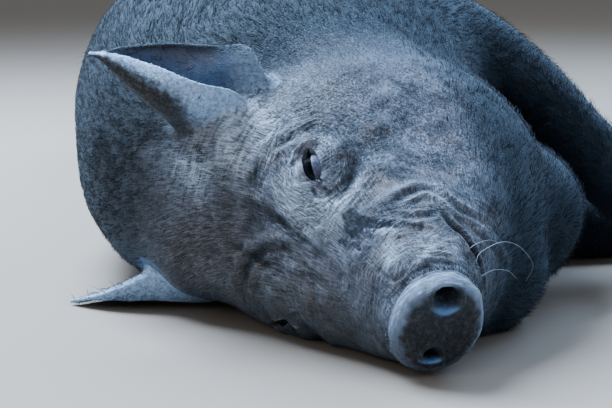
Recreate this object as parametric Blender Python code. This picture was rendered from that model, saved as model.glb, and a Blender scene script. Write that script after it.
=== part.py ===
"""A black domestic pig of the pot-bellied type, life-size, asleep on its right side.

Metres, +Z up. The floor is z = 0 and the origin is on it, under the ribs. The spine runs along Y with the
head towards -Y, the back is towards -X, the belly and the legs are towards +X, and the left side is up.
The flesh is lofted from named stations, fused into one form, and then parted by thin cuts.
"""

import bmesh
import bpy
import numpy as np
from mathutils import Matrix, Vector

MM = 0.001
GAP = 0.3 * MM  # room between two nodes that touch
VOXEL = 4.0 * MM  # grid that the lofts are fused on
FLESH_TRIANGLES = 7600
CREASE_ROUNDS = 60
SOFT_UP_TO = 70.0  # the creases in front of this, in head millimetres, stay sharp

for leftover in list(bpy.data.objects):
    bpy.data.objects.remove(leftover, do_unlink=True)


# Materials

def material(name, colour, roughness):
    """A Principled material of one colour."""
    made = bpy.data.materials.new(name)
    made.use_nodes = True
    shader = made.node_tree.nodes["Principled BSDF"]
    shader.inputs["Base Color"].default_value = (*colour, 1.0)
    shader.inputs["Roughness"].default_value = roughness
    shader.inputs["Metallic"].default_value = 0.0
    made.diffuse_color = (*colour, 1.0)
    return made


HIDE = material("hide", (0.075, 0.080, 0.095), 0.6)
EYE = material("eye", (0.020, 0.016, 0.014), 0.1)
HORN = material("hoof_horn", (0.055, 0.050, 0.046), 0.45)


# Meshes and Booleans

def mesh_object(name, points, faces, skin=HIDE):
    """A named object from a list of points and a list of faces."""
    mesh = bpy.data.meshes.new(name)
    mesh.from_pydata([tuple(p) for p in points], [], faces)
    mesh.validate()
    mesh.materials.append(skin)
    made = bpy.data.objects.new(name, mesh)
    bpy.context.scene.collection.objects.link(made)
    return made


def faced_out(thing):
    """The object with all its faces pointing outwards."""
    work = bmesh.new()
    work.from_mesh(thing.data)
    bmesh.ops.recalc_face_normals(work, faces=work.faces)
    work.to_mesh(thing.data)
    work.free()
    return thing


def evaluated(thing):
    """The object with its modifiers applied."""
    graph = bpy.context.evaluated_depsgraph_get()
    mesh = bpy.data.meshes.new_from_object(thing.evaluated_get(graph))
    thing.modifiers.clear()
    thing.data = mesh
    return thing


def joined(name, things):
    """One object that holds the meshes of all things, which are removed."""
    work = bmesh.new()
    for thing in things:
        work.from_mesh(thing.data)
    mesh = bpy.data.meshes.new(name)
    work.to_mesh(mesh)
    work.free()
    mesh.materials.append(HIDE)
    for thing in things:
        bpy.data.objects.remove(thing, do_unlink=True)
    made = bpy.data.objects.new(name, mesh)
    bpy.context.scene.collection.objects.link(made)
    return made


def carved(thing, cutters, keep_cutters=False, solver="EXACT"):
    """The object less its cutters, one after another, with the cutters removed."""
    for cutter in cutters:
        cut = thing.modifiers.new("cut", "BOOLEAN")
        cut.operation = "DIFFERENCE"
        cut.solver = solver
        cut.object = cutter
        evaluated(thing)
        if not keep_cutters:
            bpy.data.objects.remove(cutter, do_unlink=True)
    return thing


def merged(thing, additions):
    """The object with each addition joined to it, and the additions removed."""
    for addition in additions:
        union = thing.modifiers.new("union", "BOOLEAN")
        union.operation = "UNION"
        union.solver = "EXACT"
        union.object = addition
        evaluated(thing)
        bpy.data.objects.remove(addition, do_unlink=True)
    return thing


def largest_part(thing):
    """The object with only its largest closed surface, by volume."""
    work = bmesh.new()
    work.from_mesh(thing.data)
    bmesh.ops.triangulate(work, faces=work.faces)
    islands = islands_of(work)
    islands.sort(key=lambda faces: -abs(volume_of(faces)))
    spare = [face for island in islands[1:] for face in island]
    bmesh.ops.delete(work, geom=spare, context="FACES")
    loose = [vert for vert in work.verts if not vert.link_faces]
    bmesh.ops.delete(work, geom=loose, context="VERTS")
    work.to_mesh(thing.data)
    work.free()
    return thing


def islands_of(work):
    """Lists of faces, one for each surface that hangs together."""
    seen = set()
    islands = []
    for start in work.faces:
        if start in seen:
            continue
        seen.add(start)
        island, todo = [], [start]
        while todo:
            face = todo.pop()
            island.append(face)
            for edge in face.edges:
                for other in edge.link_faces:
                    if other not in seen:
                        seen.add(other)
                        todo.append(other)
        islands.append(island)
    return islands


def volume_of(faces):
    """The volume inside a closed surface of triangles."""
    total = 0.0
    for face in faces:
        a, b, c = (vert.co for vert in face.verts)
        total += a.dot(b.cross(c)) / 6
    return total


def box(name, centre, axes, sizes):
    """A box at a centre, with its edges along three axes and of the given full sizes."""
    made = mesh_object(name, *box_mesh(sizes))
    made.data.transform(Matrix(axes).transposed().to_4x4())
    made.data.transform(Matrix.Translation(Vector(centre)))
    return made


def box_mesh(sizes):
    """The corners and faces of a box round the origin."""
    x, y, z = (size / 2 for size in sizes)
    corners = [(i * x, j * y, k * z) for i in (-1, 1) for j in (-1, 1) for k in (-1, 1)]
    faces = [(0, 1, 3, 2), (4, 6, 7, 5), (0, 4, 5, 1), (2, 3, 7, 6), (0, 2, 6, 4), (1, 5, 7, 3)]
    return corners, faces


# Lofts

def smooth_rows(rows, count):
    """Rows of station values read off a Catmull-Rom curve through the given rows, count of them."""
    rows = np.asarray(rows, float)
    padded = np.vstack([2 * rows[0] - rows[1], rows, 2 * rows[-1] - rows[-2]])
    at = np.linspace(0, len(rows) - 1 - 1e-9, count)
    i = at.astype(int)
    t = (at - i)[:, None]
    a, b, c, d = (padded[i + k] for k in range(4))
    return 0.5 * (2 * b + (c - a) * t + (2 * a - 5 * b + 4 * c - d) * t**2 + (3 * b - a - 3 * c + d) * t**3)


def rings(centre, side, up, half_side, half_up, half_down, power, around, floor_power=None):
    """Rings of points: superellipses with a half size to the side, and one each up and down.

    The half away from the side direction, which lies on the floor, may have its own power: |a|^p + |b|^p = 1.
    """
    angle = np.linspace(0, 2 * np.pi, around, endpoint=False)
    cos, sin = np.cos(angle), np.sin(angle)
    exponent = 2 / np.asarray(power)[:, None]
    if floor_power is not None:
        exponent = np.where(cos < 0, 2 / np.asarray(floor_power)[:, None], exponent)
    across = np.sign(cos) * np.abs(cos) ** exponent * half_side[:, None]
    tall = np.where(sin > 0, half_up[:, None], half_down[:, None])
    along = np.sign(sin) * np.abs(sin) ** exponent * tall
    return centre[:, None] + across[..., None] * side[:, None] + along[..., None] * up[:, None]


def tube(name, grid, skin=HIDE):
    """A closed object from rings of points, with a point at the middle of each end."""
    count, around, _ = grid.shape
    points = np.vstack([grid.reshape(-1, 3), grid[0].mean(0), grid[-1].mean(0)])
    faces = []
    for i in range(count - 1):
        for j in range(around):
            k = (j + 1) % around
            faces.append((i * around + j, i * around + k, (i + 1) * around + k, (i + 1) * around + j))
    first, last = count * around, count * around + 1
    for j in range(around):
        k = (j + 1) % around
        faces.append((first, k, j))
        faces.append((last, (count - 1) * around + j, (count - 1) * around + k))
    return faced_out(mesh_object(name, points, faces, skin))


def limb(name, rows, count=28, around=16, lift=(0, 0, 1), skin=HIDE):
    """A tube along a path. A row is x, y, z, the half size across the lift direction, and the half size along it."""
    rows = smooth_rows(np.asarray(rows, float) * MM, count)
    centre = rows[:, :3]
    run = np.gradient(centre, axis=0)
    run /= np.linalg.norm(run, axis=1, keepdims=True)
    up = np.asarray(lift, float) - (run @ np.asarray(lift, float))[:, None] * run
    up /= np.linalg.norm(up, axis=1, keepdims=True)
    side = np.cross(run, up)
    round_power = np.full(count, 2.0)
    return tube(name, rings(centre, side, up, rows[:, 3], rows[:, 4], rows[:, 4], round_power, around), skin)


def ball(name, centre, radii, axes=None, skin=HIDE, subdivisions=3):
    """An ellipsoid with its radii along three axes."""
    work = bmesh.new()
    bmesh.ops.create_icosphere(work, subdivisions=subdivisions, radius=1.0)
    mesh = bpy.data.meshes.new(name)
    work.to_mesh(mesh)
    work.free()
    mesh.materials.append(skin)
    turn = Matrix(axes).transposed().to_4x4() if axes is not None else Matrix.Identity(4)
    mesh.transform(Matrix.Diagonal((*radii, 1)))
    mesh.transform(turn)
    mesh.transform(Matrix.Translation(Vector(centre)))
    made = bpy.data.objects.new(name, mesh)
    bpy.context.scene.collection.objects.link(made)
    return made


# The head's own axes: forward to the snout, left, and dorsal, from a point between the eyes.
# The head is bent 24 degrees towards the belly, the snout dips to the floor, and it rolls 2 degrees.

HEAD_POINT = np.array([0.0, -0.450, 0.074])
HEAD_TURN, HEAD_DIP, HEAD_ROLL = np.radians([24.0, 17.0, -2.0])


def head_axes():
    """Forward, left and dorsal of the head as world directions, one to a row."""
    level = np.array([np.sin(HEAD_TURN), -np.cos(HEAD_TURN), 0.0])
    upright = np.array([0.0, 0.0, 1.0])
    forward = np.cos(HEAD_DIP) * level - np.sin(HEAD_DIP) * upright
    left = np.cos(HEAD_DIP) * upright + np.sin(HEAD_DIP) * level
    dorsal = np.cross(forward, left)
    return np.array([
        forward,
        np.cos(HEAD_ROLL) * left + np.sin(HEAD_ROLL) * dorsal,
        np.cos(HEAD_ROLL) * dorsal - np.sin(HEAD_ROLL) * left,
    ])


HEAD_AXES = head_axes()


def in_world(head_mm):
    """World points from head points in millimetres."""
    return HEAD_POINT + np.asarray(head_mm, float) * MM @ HEAD_AXES


def in_head(world):
    """Head points in millimetres from world points."""
    return (np.asarray(world, float) - HEAD_POINT) @ HEAD_AXES.T / MM


# Flesh. Trunk stations: y, back x, belly x, widest x, height of the middle, half thickness, squareness.

TRUNK = [
    (640, -88, 10, -40, 128, 24, 2.0),
    (630, -120, 48, -40, 130, 62, 2.0),
    (600, -150, 84, -35, 132, 96, 2.1),
    (550, -168, 112, -28, 134, 122, 2.2),
    (470, -178, 130, -20, 136, 136, 2.2),
    (370, -178, 146, -8, 139, 141, 2.2),
    (240, -172, 176, 6, 143, 147, 2.2),
    (110, -172, 200, 12, 146, 152, 2.2),
    (0, -178, 202, 8, 145, 151, 2.2),
    (-90, -186, 192, 2, 142, 146, 2.2),
    (-170, -183, 182, 0, 139, 141, 2.2),
    (-240, -170, 172, 0, 133, 133, 2.2),
    (-300, -148, 160, 4, 124, 122, 2.1),
    (-350, -112, 140, 12, 114, 104, 2.0),
    (-385, -70, 110, 20, 105, 76, 2.0),
    (-400, -40, 80, 20, 100, 40, 2.0),
]

# Head stations: forward, dorsal profile, ventral profile, widest level, half width, squareness.
HEAD = [
    (-185, 0, -160, -85, 60, 2.0),
    (-165, 20, -195, -95, 88, 2.0),
    (-130, 34, -224, -104, 106, 2.1),
    (-90, 31, -240, -110, 110, 2.2),
    (-55, 20, -243, -110, 105, 2.3),
    (-20, 6, -234, -103, 92, 2.4),
    (10, -6, -214, -94, 79, 2.4),
    (35, -17, -188, -84, 69, 2.4),
    (60, -27, -157, -75, 59, 2.3),
    (82, -33, -130, -70, 50, 2.2),
    (98, -36, -112, -68, 42, 2.1),
    (106, -40, -100, -68, 38, 2.0),
]

# Snout disc: its middle, its half sizes, its thickness and how far its face leans back, in head millimetres.
DISC_MIDDLE = (116, -1, -68)
DISC_HALF_WIDTH, DISC_HALF_HEIGHT = 38.0, 34.0
DISC_DEPTH = 15.0
DISC_LEAN = np.radians(6.0)

# Bulges: centre, radii along forward, left and dorsal, all in head millimetres, and the height of the bulge.
# A bulge off the midline has its twin on the other side.
BULGES = [
    ((-6, 60, -22), (24, 30, 24), 5.0),  # rim of the eye's orbit
    ((-48, 100, -70), (46, 40, 40), 4.0),  # cheekbone
    ((52, 56, -92), (17, 24, 15), 5.0),  # lip over the tusk
    ((-66, 0, 24), (34, 46, 30), 3.0),  # forehead
    ((70, 0, -136), (22, 26, 22), 3.0),  # chin
    ((-98, 66, 20), (30, 30, 30), 8.0),  # root of the ear
]


def head_loft():
    """The skull with its jowls, from the nape to the snout."""
    rows = smooth_rows(HEAD, 56)
    forward, top, bottom, level, half, power = rows.T
    flat = np.zeros_like(forward)
    centre = in_world(np.stack([forward, flat, level], -1))
    side = np.tile(HEAD_AXES[1], (len(rows), 1))
    up = np.tile(HEAD_AXES[2], (len(rows), 1))
    pressed = power + 0.7 * np.clip((90 - forward) / 60, 0, 1)
    grid = rings(centre, side, up, half * MM, (top - level) * MM, (level - bottom) * MM, power, 48, pressed)
    return tube("skull", grid)


def snout_disc():
    """The rooting disc: a short round drum with a rolled rim, leaning a little back at the top."""
    lean = np.cos(DISC_LEAN) * HEAD_AXES[2] - np.sin(DISC_LEAN) * HEAD_AXES[0]
    out = np.cos(DISC_LEAN) * HEAD_AXES[0] + np.sin(DISC_LEAN) * HEAD_AXES[2]
    steps = [(-1.3, 0.80), (-0.75, 0.84), (-0.5, 0.94), (-0.1, 1.0), (0.25, 0.98), (0.42, 0.90), (0.46, 0.6)]
    along = np.array([step[0] for step in steps]) * DISC_DEPTH * MM
    size = np.array([step[1] for step in steps])
    centre = in_world(DISC_MIDDLE) + along[:, None] * out
    side = np.tile(HEAD_AXES[1], (len(steps), 1))
    up = np.tile(lean, (len(steps), 1))
    half_side = size * DISC_HALF_WIDTH * MM
    half_up = size * DISC_HALF_HEIGHT * MM
    return tube("disc", rings(centre, side, up, half_side, half_up, half_up, np.full(len(steps), 2.1), 40))


def trunk_loft():
    """The barrel from the rump to the neck, lying on its right side."""
    rows = smooth_rows(TRUNK, 80)
    y, back, belly, widest, middle, half, power = rows.T
    centre = np.stack([widest, y, middle], -1) * MM
    side = np.tile((0.0, 0.0, 1.0), (len(rows), 1))
    up = np.tile((-1.0, 0.0, 0.0), (len(rows), 1))
    grid = rings(centre, side, up, half * MM, (widest - back) * MM, (belly - widest) * MM, power, 56, power + 1.0)
    return tube("barrel", grid)


# Legs: x, y, z, half size across, half size up and down. The left legs are the upper ones.

LEGS = {
    "foreleg_left": [
        (60, -140, 205, 60, 52), (110, -150, 205, 58, 48), (160, -168, 190, 47, 43), (208, -186, 158, 37, 36),
        (252, -200, 118, 30, 31), (290, -214, 82, 30, 30), (325, -230, 56, 24, 25), (352, -243, 39, 25, 26),
        (372, -253, 30, 26, 27), (390, -262, 26, 21, 24),
    ],
    "foreleg_right": [
        (60, -120, 74, 58, 50), (110, -128, 64, 54, 46), (160, -134, 50, 44, 40), (212, -137, 39, 36, 35),
        (262, -134, 31, 30, 30), (302, -129, 29, 30, 29), (340, -123, 26, 24, 24), (368, -119, 26, 25, 26),
        (388, -116, 26, 26, 27), (406, -115, 26, 21, 24),
    ],
    "hindleg_left": [
        (10, 470, 165, 96, 84), (62, 435, 170, 94, 76), (118, 402, 166, 76, 62), (170, 398, 146, 57, 51),
        (222, 425, 114, 43, 41), (266, 452, 84, 36, 35), (302, 460, 62, 31, 30), (338, 453, 45, 24, 25),
        (368, 443, 33, 24, 25), (392, 436, 27, 26, 27), (410, 432, 26, 21, 24),
    ],
    "hindleg_right": [
        (10, 420, 88, 86, 74), (62, 380, 80, 80, 64), (112, 345, 66, 66, 54), (162, 326, 52, 51, 46),
        (214, 338, 40, 40, 39), (260, 354, 33, 34, 33), (298, 354, 30, 30, 29), (334, 340, 27, 23, 25),
        (362, 326, 26, 23, 25), (386, 315, 26, 26, 27), (403, 309, 26, 21, 24),
    ],
}

TAIL = [
    (-128, 600, 150, 26, 26), (-134, 628, 140, 20, 20), (-138, 654, 116, 14, 14), (-138, 678, 82, 10.5, 10.5),
    (-130, 698, 46, 9, 9), (-112, 714, 20, 8, 8), (-84, 726, 10.5, 7.5, 7.5), (-50, 732, 9.5, 8, 7),
    (-20, 732, 8, 9, 6), (10, 728, 6, 6, 4.5), (36, 722, 4, 2, 2),
]

# The switch at the tail's end: flat tapered locks of bristle that fan out over the floor.
SWITCH_LOCKS = 12
SWITCH_ROOTS = ((-72, 728, 10), (0, 730, 7))  # where the first and the last lock are rooted
SWITCH_LENGTHS = (46, 60)  # of the first and the last lock
SWITCH_SPREAD = np.radians(17)
LOCK_HALF_WIDTH, LOCK_HALF_THICKNESS = 5.0, 1.7

SOFT_MASSES = [
    # name, centre, radii, in millimetres
    ("dewlap", (158, -284, 68), (87, 82, 70)),
    ("jowl", (120, -370, 44), (84, 74, 62)),
    ("belly_sag", (118, 90, 92), (112, 240, 94)),
    ("shoulder", (20, -150, 200), (116, 105, 88)),
    ("haunch", (-6, 470, 170), (124, 116, 100)),
]


def flesh():
    """All the flesh as one smooth form: lofts fused on a voxel grid, their joins smoothed, and bulges raised."""
    pieces = [trunk_loft(), head_loft(), snout_disc()]
    for name, rows in LEGS.items():
        pieces.append(limb(name, rows, count=40, around=20))
    pieces.append(limb("tail", TAIL, count=28, around=12, lift=(0, -1, 0.3)))
    for name, centre, radii in SOFT_MASSES:
        pieces.append(ball(name, np.array(centre) * MM, np.array(radii) * MM))
    whole = joined("whole", pieces)
    grid = whole.modifiers.new("fuse", "REMESH")
    grid.mode = "VOXEL"
    grid.voxel_size = VOXEL
    evaluated(whole)
    relax(whole, 4)
    fill_creases(whole)
    raise_bulges(whole)
    thin = whole.modifiers.new("thin", "DECIMATE")
    thin.ratio = FLESH_TRIANGLES / (2 * len(whole.data.polygons))
    thin.use_collapse_triangulate = True
    evaluated(whole)
    return whole


def switch_locks():
    """Tapered locks, rooted along the tail's end and turned by turns to one side and the other."""
    locks = []
    first, last = np.array(SWITCH_ROOTS, float)
    for i in range(SWITCH_LOCKS):
        share = i / (SWITCH_LOCKS - 1)
        root = first + (last - first) * share
        turn = SWITCH_SPREAD * (0.35 + 0.65 * ((i * 3) % 5) / 4) * (-1) ** i
        run = np.array([np.cos(turn), np.sin(turn), 0.0])
        length = SWITCH_LENGTHS[0] + (SWITCH_LENGTHS[1] - SWITCH_LENGTHS[0]) * share
        rise = 3.0 * np.sin(1.7 * i)
        rows = []
        for along, level, size in ((0, 0, 0.8), (0.3, rise, 1.0), (0.65, -0.45 * root[2], 0.75), (1.0, -0.6 * root[2], 0.16)):
            spot = root + run * length * along + np.array([0, 0, level])
            rows.append((*spot, LOCK_HALF_WIDTH * size, LOCK_HALF_THICKNESS * max(size, 0.4)))
        locks.append(limb("lock", rows, count=6, around=6))
    return locks


def relax(thing, rounds):
    """Smooths the joins between the lofts."""
    soft = thing.modifiers.new("relax", "SMOOTH")
    soft.factor = 0.5
    soft.iterations = rounds
    evaluated(thing)


def neighbours_mean(points, edges):
    """For each point, the mean of the points that share an edge with it."""
    total = np.zeros_like(points)
    np.add.at(total, edges[:, 0], points[edges[:, 1]])
    np.add.at(total, edges[:, 1], points[edges[:, 0]])
    count = np.bincount(edges.ravel(), minlength=len(points))
    return total / np.maximum(count, 1)[:, None]


def fill_creases(thing):
    """Moves hollow places outwards until the joins between body and limbs are soft folds; the snout is left."""
    mesh = thing.data
    points = np.empty(len(mesh.vertices) * 3)
    mesh.vertices.foreach_get("co", points)
    points = points.reshape(-1, 3)
    edges = np.empty(len(mesh.edges) * 2, int)
    mesh.edges.foreach_get("vertices", edges)
    edges = edges.reshape(-1, 2)
    soft = np.clip((SOFT_UP_TO - in_head(points)[:, 0]) / 20, 0, 1)
    normals = np.empty(len(points) * 3)
    for _ in range(CREASE_ROUNDS):
        mesh.vertex_normals.foreach_get("vector", normals)
        out = normals.reshape(-1, 3)
        push = ((neighbours_mean(points, edges) - points) * out).sum(1)
        points += (np.maximum(push, 0) * soft)[:, None] * out * 0.9
        mesh.vertices.foreach_set("co", points.ravel())
        mesh.update()


def raise_bulges(thing):
    """Moves the surface outwards near each bulge, by a bell curve of the distance."""
    mesh = thing.data
    points = np.empty(len(mesh.vertices) * 3)
    mesh.vertices.foreach_get("co", points)
    points = points.reshape(-1, 3)
    normals = np.empty(len(mesh.vertices) * 3)
    mesh.vertex_normals.foreach_get("vector", normals)
    normals = normals.reshape(-1, 3)
    local = in_head(points)
    lift = np.zeros(len(points))
    for centre, radii, height in BULGES:
        sides = (1,) if centre[1] == 0 else (1, -1)
        for side in sides:
            middle = np.array(centre, float) * (1, side, 1)
            away = ((local - middle) / radii) ** 2
            lift += height * MM * np.exp(-away.sum(1))
    points += lift[:, None] * normals
    mesh.vertices.foreach_set("co", points.ravel())
    mesh.update()


# Eyes, mouth and nostrils, in head millimetres.

EYE_MIDDLE = (-4, 56, -21)  # where the slit lies on the skin
EYE_RADIUS = 12.0
EYE_SLIT = (27.0, 7.0)  # length from corner to corner, and the gap between the lids
EYE_SUNK = 15.5  # from the skin to the middle of the ball
LID_TURN = np.radians(-11.0)

# Nostrils: the middle, and the half sizes back, across and up. The lower one is pressed smaller.
NOSTRILS = {1: ((128, 21, -66), (14.0, 7.6, 8.6)), -1: ((128, -18.5, -65), (14.0, 5.8, 6.8))}

MOUTH_LINE = [(104, 22, -97), (92, 33, -106), (73, 46, -109), (54, 56, -104), (40, 63, -96)]
MOUTH_DEPTH, MOUTH_GAP = 12.0, 3.0


def surface_hit(tree, head_mm, direction):
    """Where a line from outside the head, back along a head direction, meets the flesh, and the normal there."""
    out = Vector(np.asarray(direction, float) @ HEAD_AXES).normalized()
    start = Vector(in_world(head_mm)) + out * 0.06
    place, normal, _, _ = tree.ray_cast(start, -out)
    return np.array(place), np.array(normal)


def eye_frame(tree, side):
    """The ball's centre, the way it looks, the way along its slit and the way across it."""
    middle = np.array(EYE_MIDDLE) * (1, side, 1)
    place, _ = surface_hit(tree, middle, (0.35, side * 1.0, 0.40))
    look = np.array((0.35, side * 1.0, 0.40)) @ HEAD_AXES
    look /= np.linalg.norm(look)
    along = np.array((np.cos(LID_TURN) * 0.62, -side * 0.80, np.sin(LID_TURN))) @ HEAD_AXES
    along -= along.dot(look) * look
    along /= np.linalg.norm(along)
    return place - look * EYE_SUNK * MM, look, along, np.cross(look, along)


def eye_parts(tree, side, name):
    """The eyeball, and the two cutters that make its socket and the slit between its lids."""
    centre, look, along, across = eye_frame(tree, side)
    axes = np.array([along, across, look])
    eyeball = ball(name, centre, [EYE_RADIUS * MM] * 3, skin=EYE, subdivisions=2)
    socket = ball("socket", centre, [EYE_RADIUS * MM + GAP] * 3)
    slit_middle = centre + look * EYE_SUNK * MM
    radii = np.array([EYE_SLIT[0] / 2, EYE_SLIT[1] / 2, EYE_RADIUS]) * MM
    slit = ball("slit", slit_middle, radii, axes, subdivisions=2)
    return eyeball, [socket, slit]


def nostril_cutter(side):
    """An egg-shaped hole that runs back and outwards from the disc's face."""
    slant = np.array([1.0, side * -0.25, 0.05]) @ HEAD_AXES
    slant /= np.linalg.norm(slant)
    tall = HEAD_AXES[2] - HEAD_AXES[2].dot(slant) * slant
    tall /= np.linalg.norm(tall)
    across = np.cross(tall, slant)
    middle, half = NOSTRILS[side]
    return ball("nostril", in_world(middle), np.array(half) * MM, [slant, across, tall], subdivisions=2)


def mouth_cutter(side):
    """A wedge along the line where the lips meet, widest at the skin."""
    path = smooth_rows(np.array(MOUTH_LINE, float) * (1, side, 1), 12)
    run = np.gradient(path, axis=0)
    run /= np.linalg.norm(run, axis=1, keepdims=True)
    out = np.array([0.0, side * 1.0, -0.12])
    out = out - (run @ out)[:, None] * run
    out /= np.linalg.norm(out, axis=1, keepdims=True)
    up = np.cross(out, run) * side
    half = np.sin(np.linspace(0.25, np.pi - 0.25, len(path)))[:, None] * MOUTH_GAP / 2
    inner = path - out * MOUTH_DEPTH
    outer = path + out * MOUTH_DEPTH
    edge = np.stack([outer + up * half * 1.6, inner + up * half * 0.2, inner - up * half * 0.2, outer - up * half * 1.6], 1)
    return tube("mouth", in_world(edge))


# Ears. Each is a cupped leaf between three rails in world millimetres: the near margin, the keel of its back and
# the far margin, from inside the head out to the tip. The left ear stands off the head; the right one is
# folded over on the floor with its cup down.

EAR_RAILS = {
    "ear_left": [
        ((-24, -384, 140), (-62, -350, 128), (-6, -366, 148)), ((-22, -400, 168), (-78, -374, 148), (-6, -384, 174)),
        ((-32, -412, 180), (-83, -386, 158), (-17, -384, 197)), ((-47, -417, 185), (-88, -391, 165), (-25, -379, 206)),
        ((-62, -417, 190), (-96, -393, 172), (-40, -374, 210)), ((-80, -412, 197), (-106, -391, 180), (-62, -373, 212)),
        ((-100, -404, 203), (-118, -390, 191), (-86, -377, 213)), ((-119, -397, 207), (-129, -390, 200), (-112, -385, 211)),
        ((-139, -393, 206), (-139, -391, 204), (-138, -390, 207)),
    ],
    "ear_right": [
        ((-26, -326, 10), (-44, -346, 46), (-58, -312, 34)), ((-56, -334, 5), (-66, -350, 44), (-80, -304, 24)),
        ((-82, -336, 4), (-87, -346, 38), (-96, -294, 12)), ((-104, -336, 4), (-103, -340, 34), (-112, -290, 6)),
        ((-124, -335, 4), (-118, -338, 27), (-128, -292, 4)), ((-142, -332, 4), (-138, -334, 17), (-144, -301, 4)),
        ((-158, -326, 4), (-156, -326, 9), (-158, -312, 4)), ((-169, -320, 3), (-169, -319, 5), (-168, -317, 3)),
    ],
}
EAR_THICK = (6.0, 2.4)  # at the root and at the tip
EAR_RIM = 0.5  # the margin's thickness as a share of the keel's
EAR_SWELL = {"ear_left": 7.0, "ear_right": 0.0}  # how far the half by the near margin swells forward


def ear(name):
    """A closed leaf, thickest along its keel. Each cross-section is half an ellipse through the three rails."""
    rails = np.array(EAR_RAILS[name], float).reshape(len(EAR_RAILS[name]), 9)
    near, keel, far = np.split(smooth_rows(rails, 14) * MM, 3, axis=1)
    turn = np.linspace(-np.pi / 2, np.pi / 2, 11)[None, :, None]
    middle, half = (near + far) / 2, (far - near) / 2
    back = keel[:, None] + (middle - keel)[:, None] * (1 - np.cos(turn)) + half[:, None] * np.sin(turn)
    share = np.linspace(0, 1, len(back))[:, None, None]
    swell = EAR_SWELL[name] * np.sin(-2 * np.minimum(turn, 0)) * np.sin(np.pi * np.clip(share, 0, 0.97)) ** 0.5
    back = back + swell * (0, -MM, 0)
    along = np.gradient(back, axis=0)
    out = np.cross(along, np.gradient(back, axis=1))
    out /= np.linalg.norm(out, axis=2, keepdims=True)
    outwards = np.sign(((keel - middle) * out[:, 5]).sum())
    thick = (EAR_THICK[0] + (EAR_THICK[1] - EAR_THICK[0]) * share) * MM
    thick = thick * (EAR_RIM + (1 - EAR_RIM) * np.cos(turn))
    return leaf(name, back, back - outwards * out * thick)


def leaf(name, back, cup):
    """A closed solid between two grids of points, split into triangles alike on both."""
    rows, columns, _ = back.shape
    points = np.vstack([back.reshape(-1, 3), cup.reshape(-1, 3)])
    shift = rows * columns
    faces = []
    for i in range(rows - 1):
        for j in range(columns - 1):
            a, b = i * columns + j, i * columns + j + 1
            c, d = a + columns, b + columns
            faces += [(a, b, d), (a, d, c), (a + shift, d + shift, b + shift), (a + shift, c + shift, d + shift)]
    rim = [j for j in range(columns)]
    rim += [i * columns + columns - 1 for i in range(1, rows)]
    rim += [(rows - 1) * columns + j for j in range(columns - 2, -1, -1)]
    rim += [i * columns for i in range(rows - 2, 0, -1)]
    for a, b in zip(rim, rim[1:] + rim[:1]):
        faces += [(b, a, a + shift), (b, a + shift, b + shift)]
    return faced_out(mesh_object(name, points, faces))


# Feet: two hooves that meet the floor by their lower side, and two dewclaws behind them.

FEET = {
    # the foot's place, the way its toes point, in millimetres
    "fore_left": ((388, -261, 26), (0.88, -0.46, -0.04)),
    "fore_right": ((405, -115, 25), (1.0, 0.02, 0.0)),
    "hind_left": ((409, 432, 25), (0.97, -0.20, 0.0)),
    "hind_right": ((402, 309, 25), (0.94, -0.34, 0.0)),
}
HOOF_LENGTH, HOOF_HALF_WIDTH, HOOF_HALF_DEPTH = 43.0, 11.0, 17.0
DEWCLAW_LENGTH, DEWCLAW_HALF = 22.0, 7.0


def hoof(name, place, toes, up, grow=0.0):
    """One hoof: a wedge that narrows to a blunt toe, flat on the side that walks."""
    toes = np.asarray(toes, float) / np.linalg.norm(toes)
    front = np.cross(toes, (0, 0, 1.0))
    front /= np.linalg.norm(front)
    up = np.cross(front, toes)
    steps = smooth_rows([
        # along, half width, front, sole
        (-0.42, 0.80, 0.80, 0.80), (-0.2, 0.96, 0.96, 0.98), (0.1, 1.0, 0.98, 1.0), (0.34, 0.96, 0.96, 0.62),
        (0.58, 0.82, 0.92, 0.14), (0.80, 0.58, 0.86, -0.32), (0.94, 0.34, 0.80, -0.58), (1.0, 0.14, 0.74, -0.66),
    ], 9)
    along, wide, fore, sole = steps.T
    centre = np.asarray(place) * MM + (along * HOOF_LENGTH * MM)[:, None] * toes
    side = np.tile(up, (len(steps), 1))
    ahead = np.tile(front, (len(steps), 1))
    middle = (fore - sole) / 2
    half = (fore + sole) / 2
    centre = centre + (middle * HOOF_HALF_DEPTH * MM)[:, None] * ahead
    half_side = wide * HOOF_HALF_WIDTH * MM + grow
    half_up = half * HOOF_HALF_DEPTH * MM + grow
    power = np.full(len(steps), 2.8)
    grid = rings(centre, side, ahead, half_side, half_up, half_up, power, 14)
    if grow:
        grid[0] -= toes * grow
        grid[-1] += toes * grow
    return tube(name, grid, HORN)


def dewclaw(name, place, toes, grow=0.0):
    """A small blunt cone that points down the foot and a little back."""
    toes = np.asarray(toes, float) / np.linalg.norm(toes)
    steps = smooth_rows([(-0.4, 0.85), (0.1, 1.0), (0.6, 0.75), (0.9, 0.42), (1.0, 0.15)], 6)
    centre = np.asarray(place) * MM + (steps[:, 0] * DEWCLAW_LENGTH * MM)[:, None] * toes
    side = np.cross(toes, (0, 0, 1.0))
    side /= np.linalg.norm(side)
    up = np.cross(side, toes)
    half = steps[:, 1] * DEWCLAW_HALF * MM + grow
    grid = rings(centre, np.tile(side, (6, 1)), np.tile(up, (6, 1)), half, half, half, np.full(6, 2.0), 8)
    if grow:
        grid[0] -= toes * grow
        grid[-1] += toes * grow
    return tube(name, grid, HORN)


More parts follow.
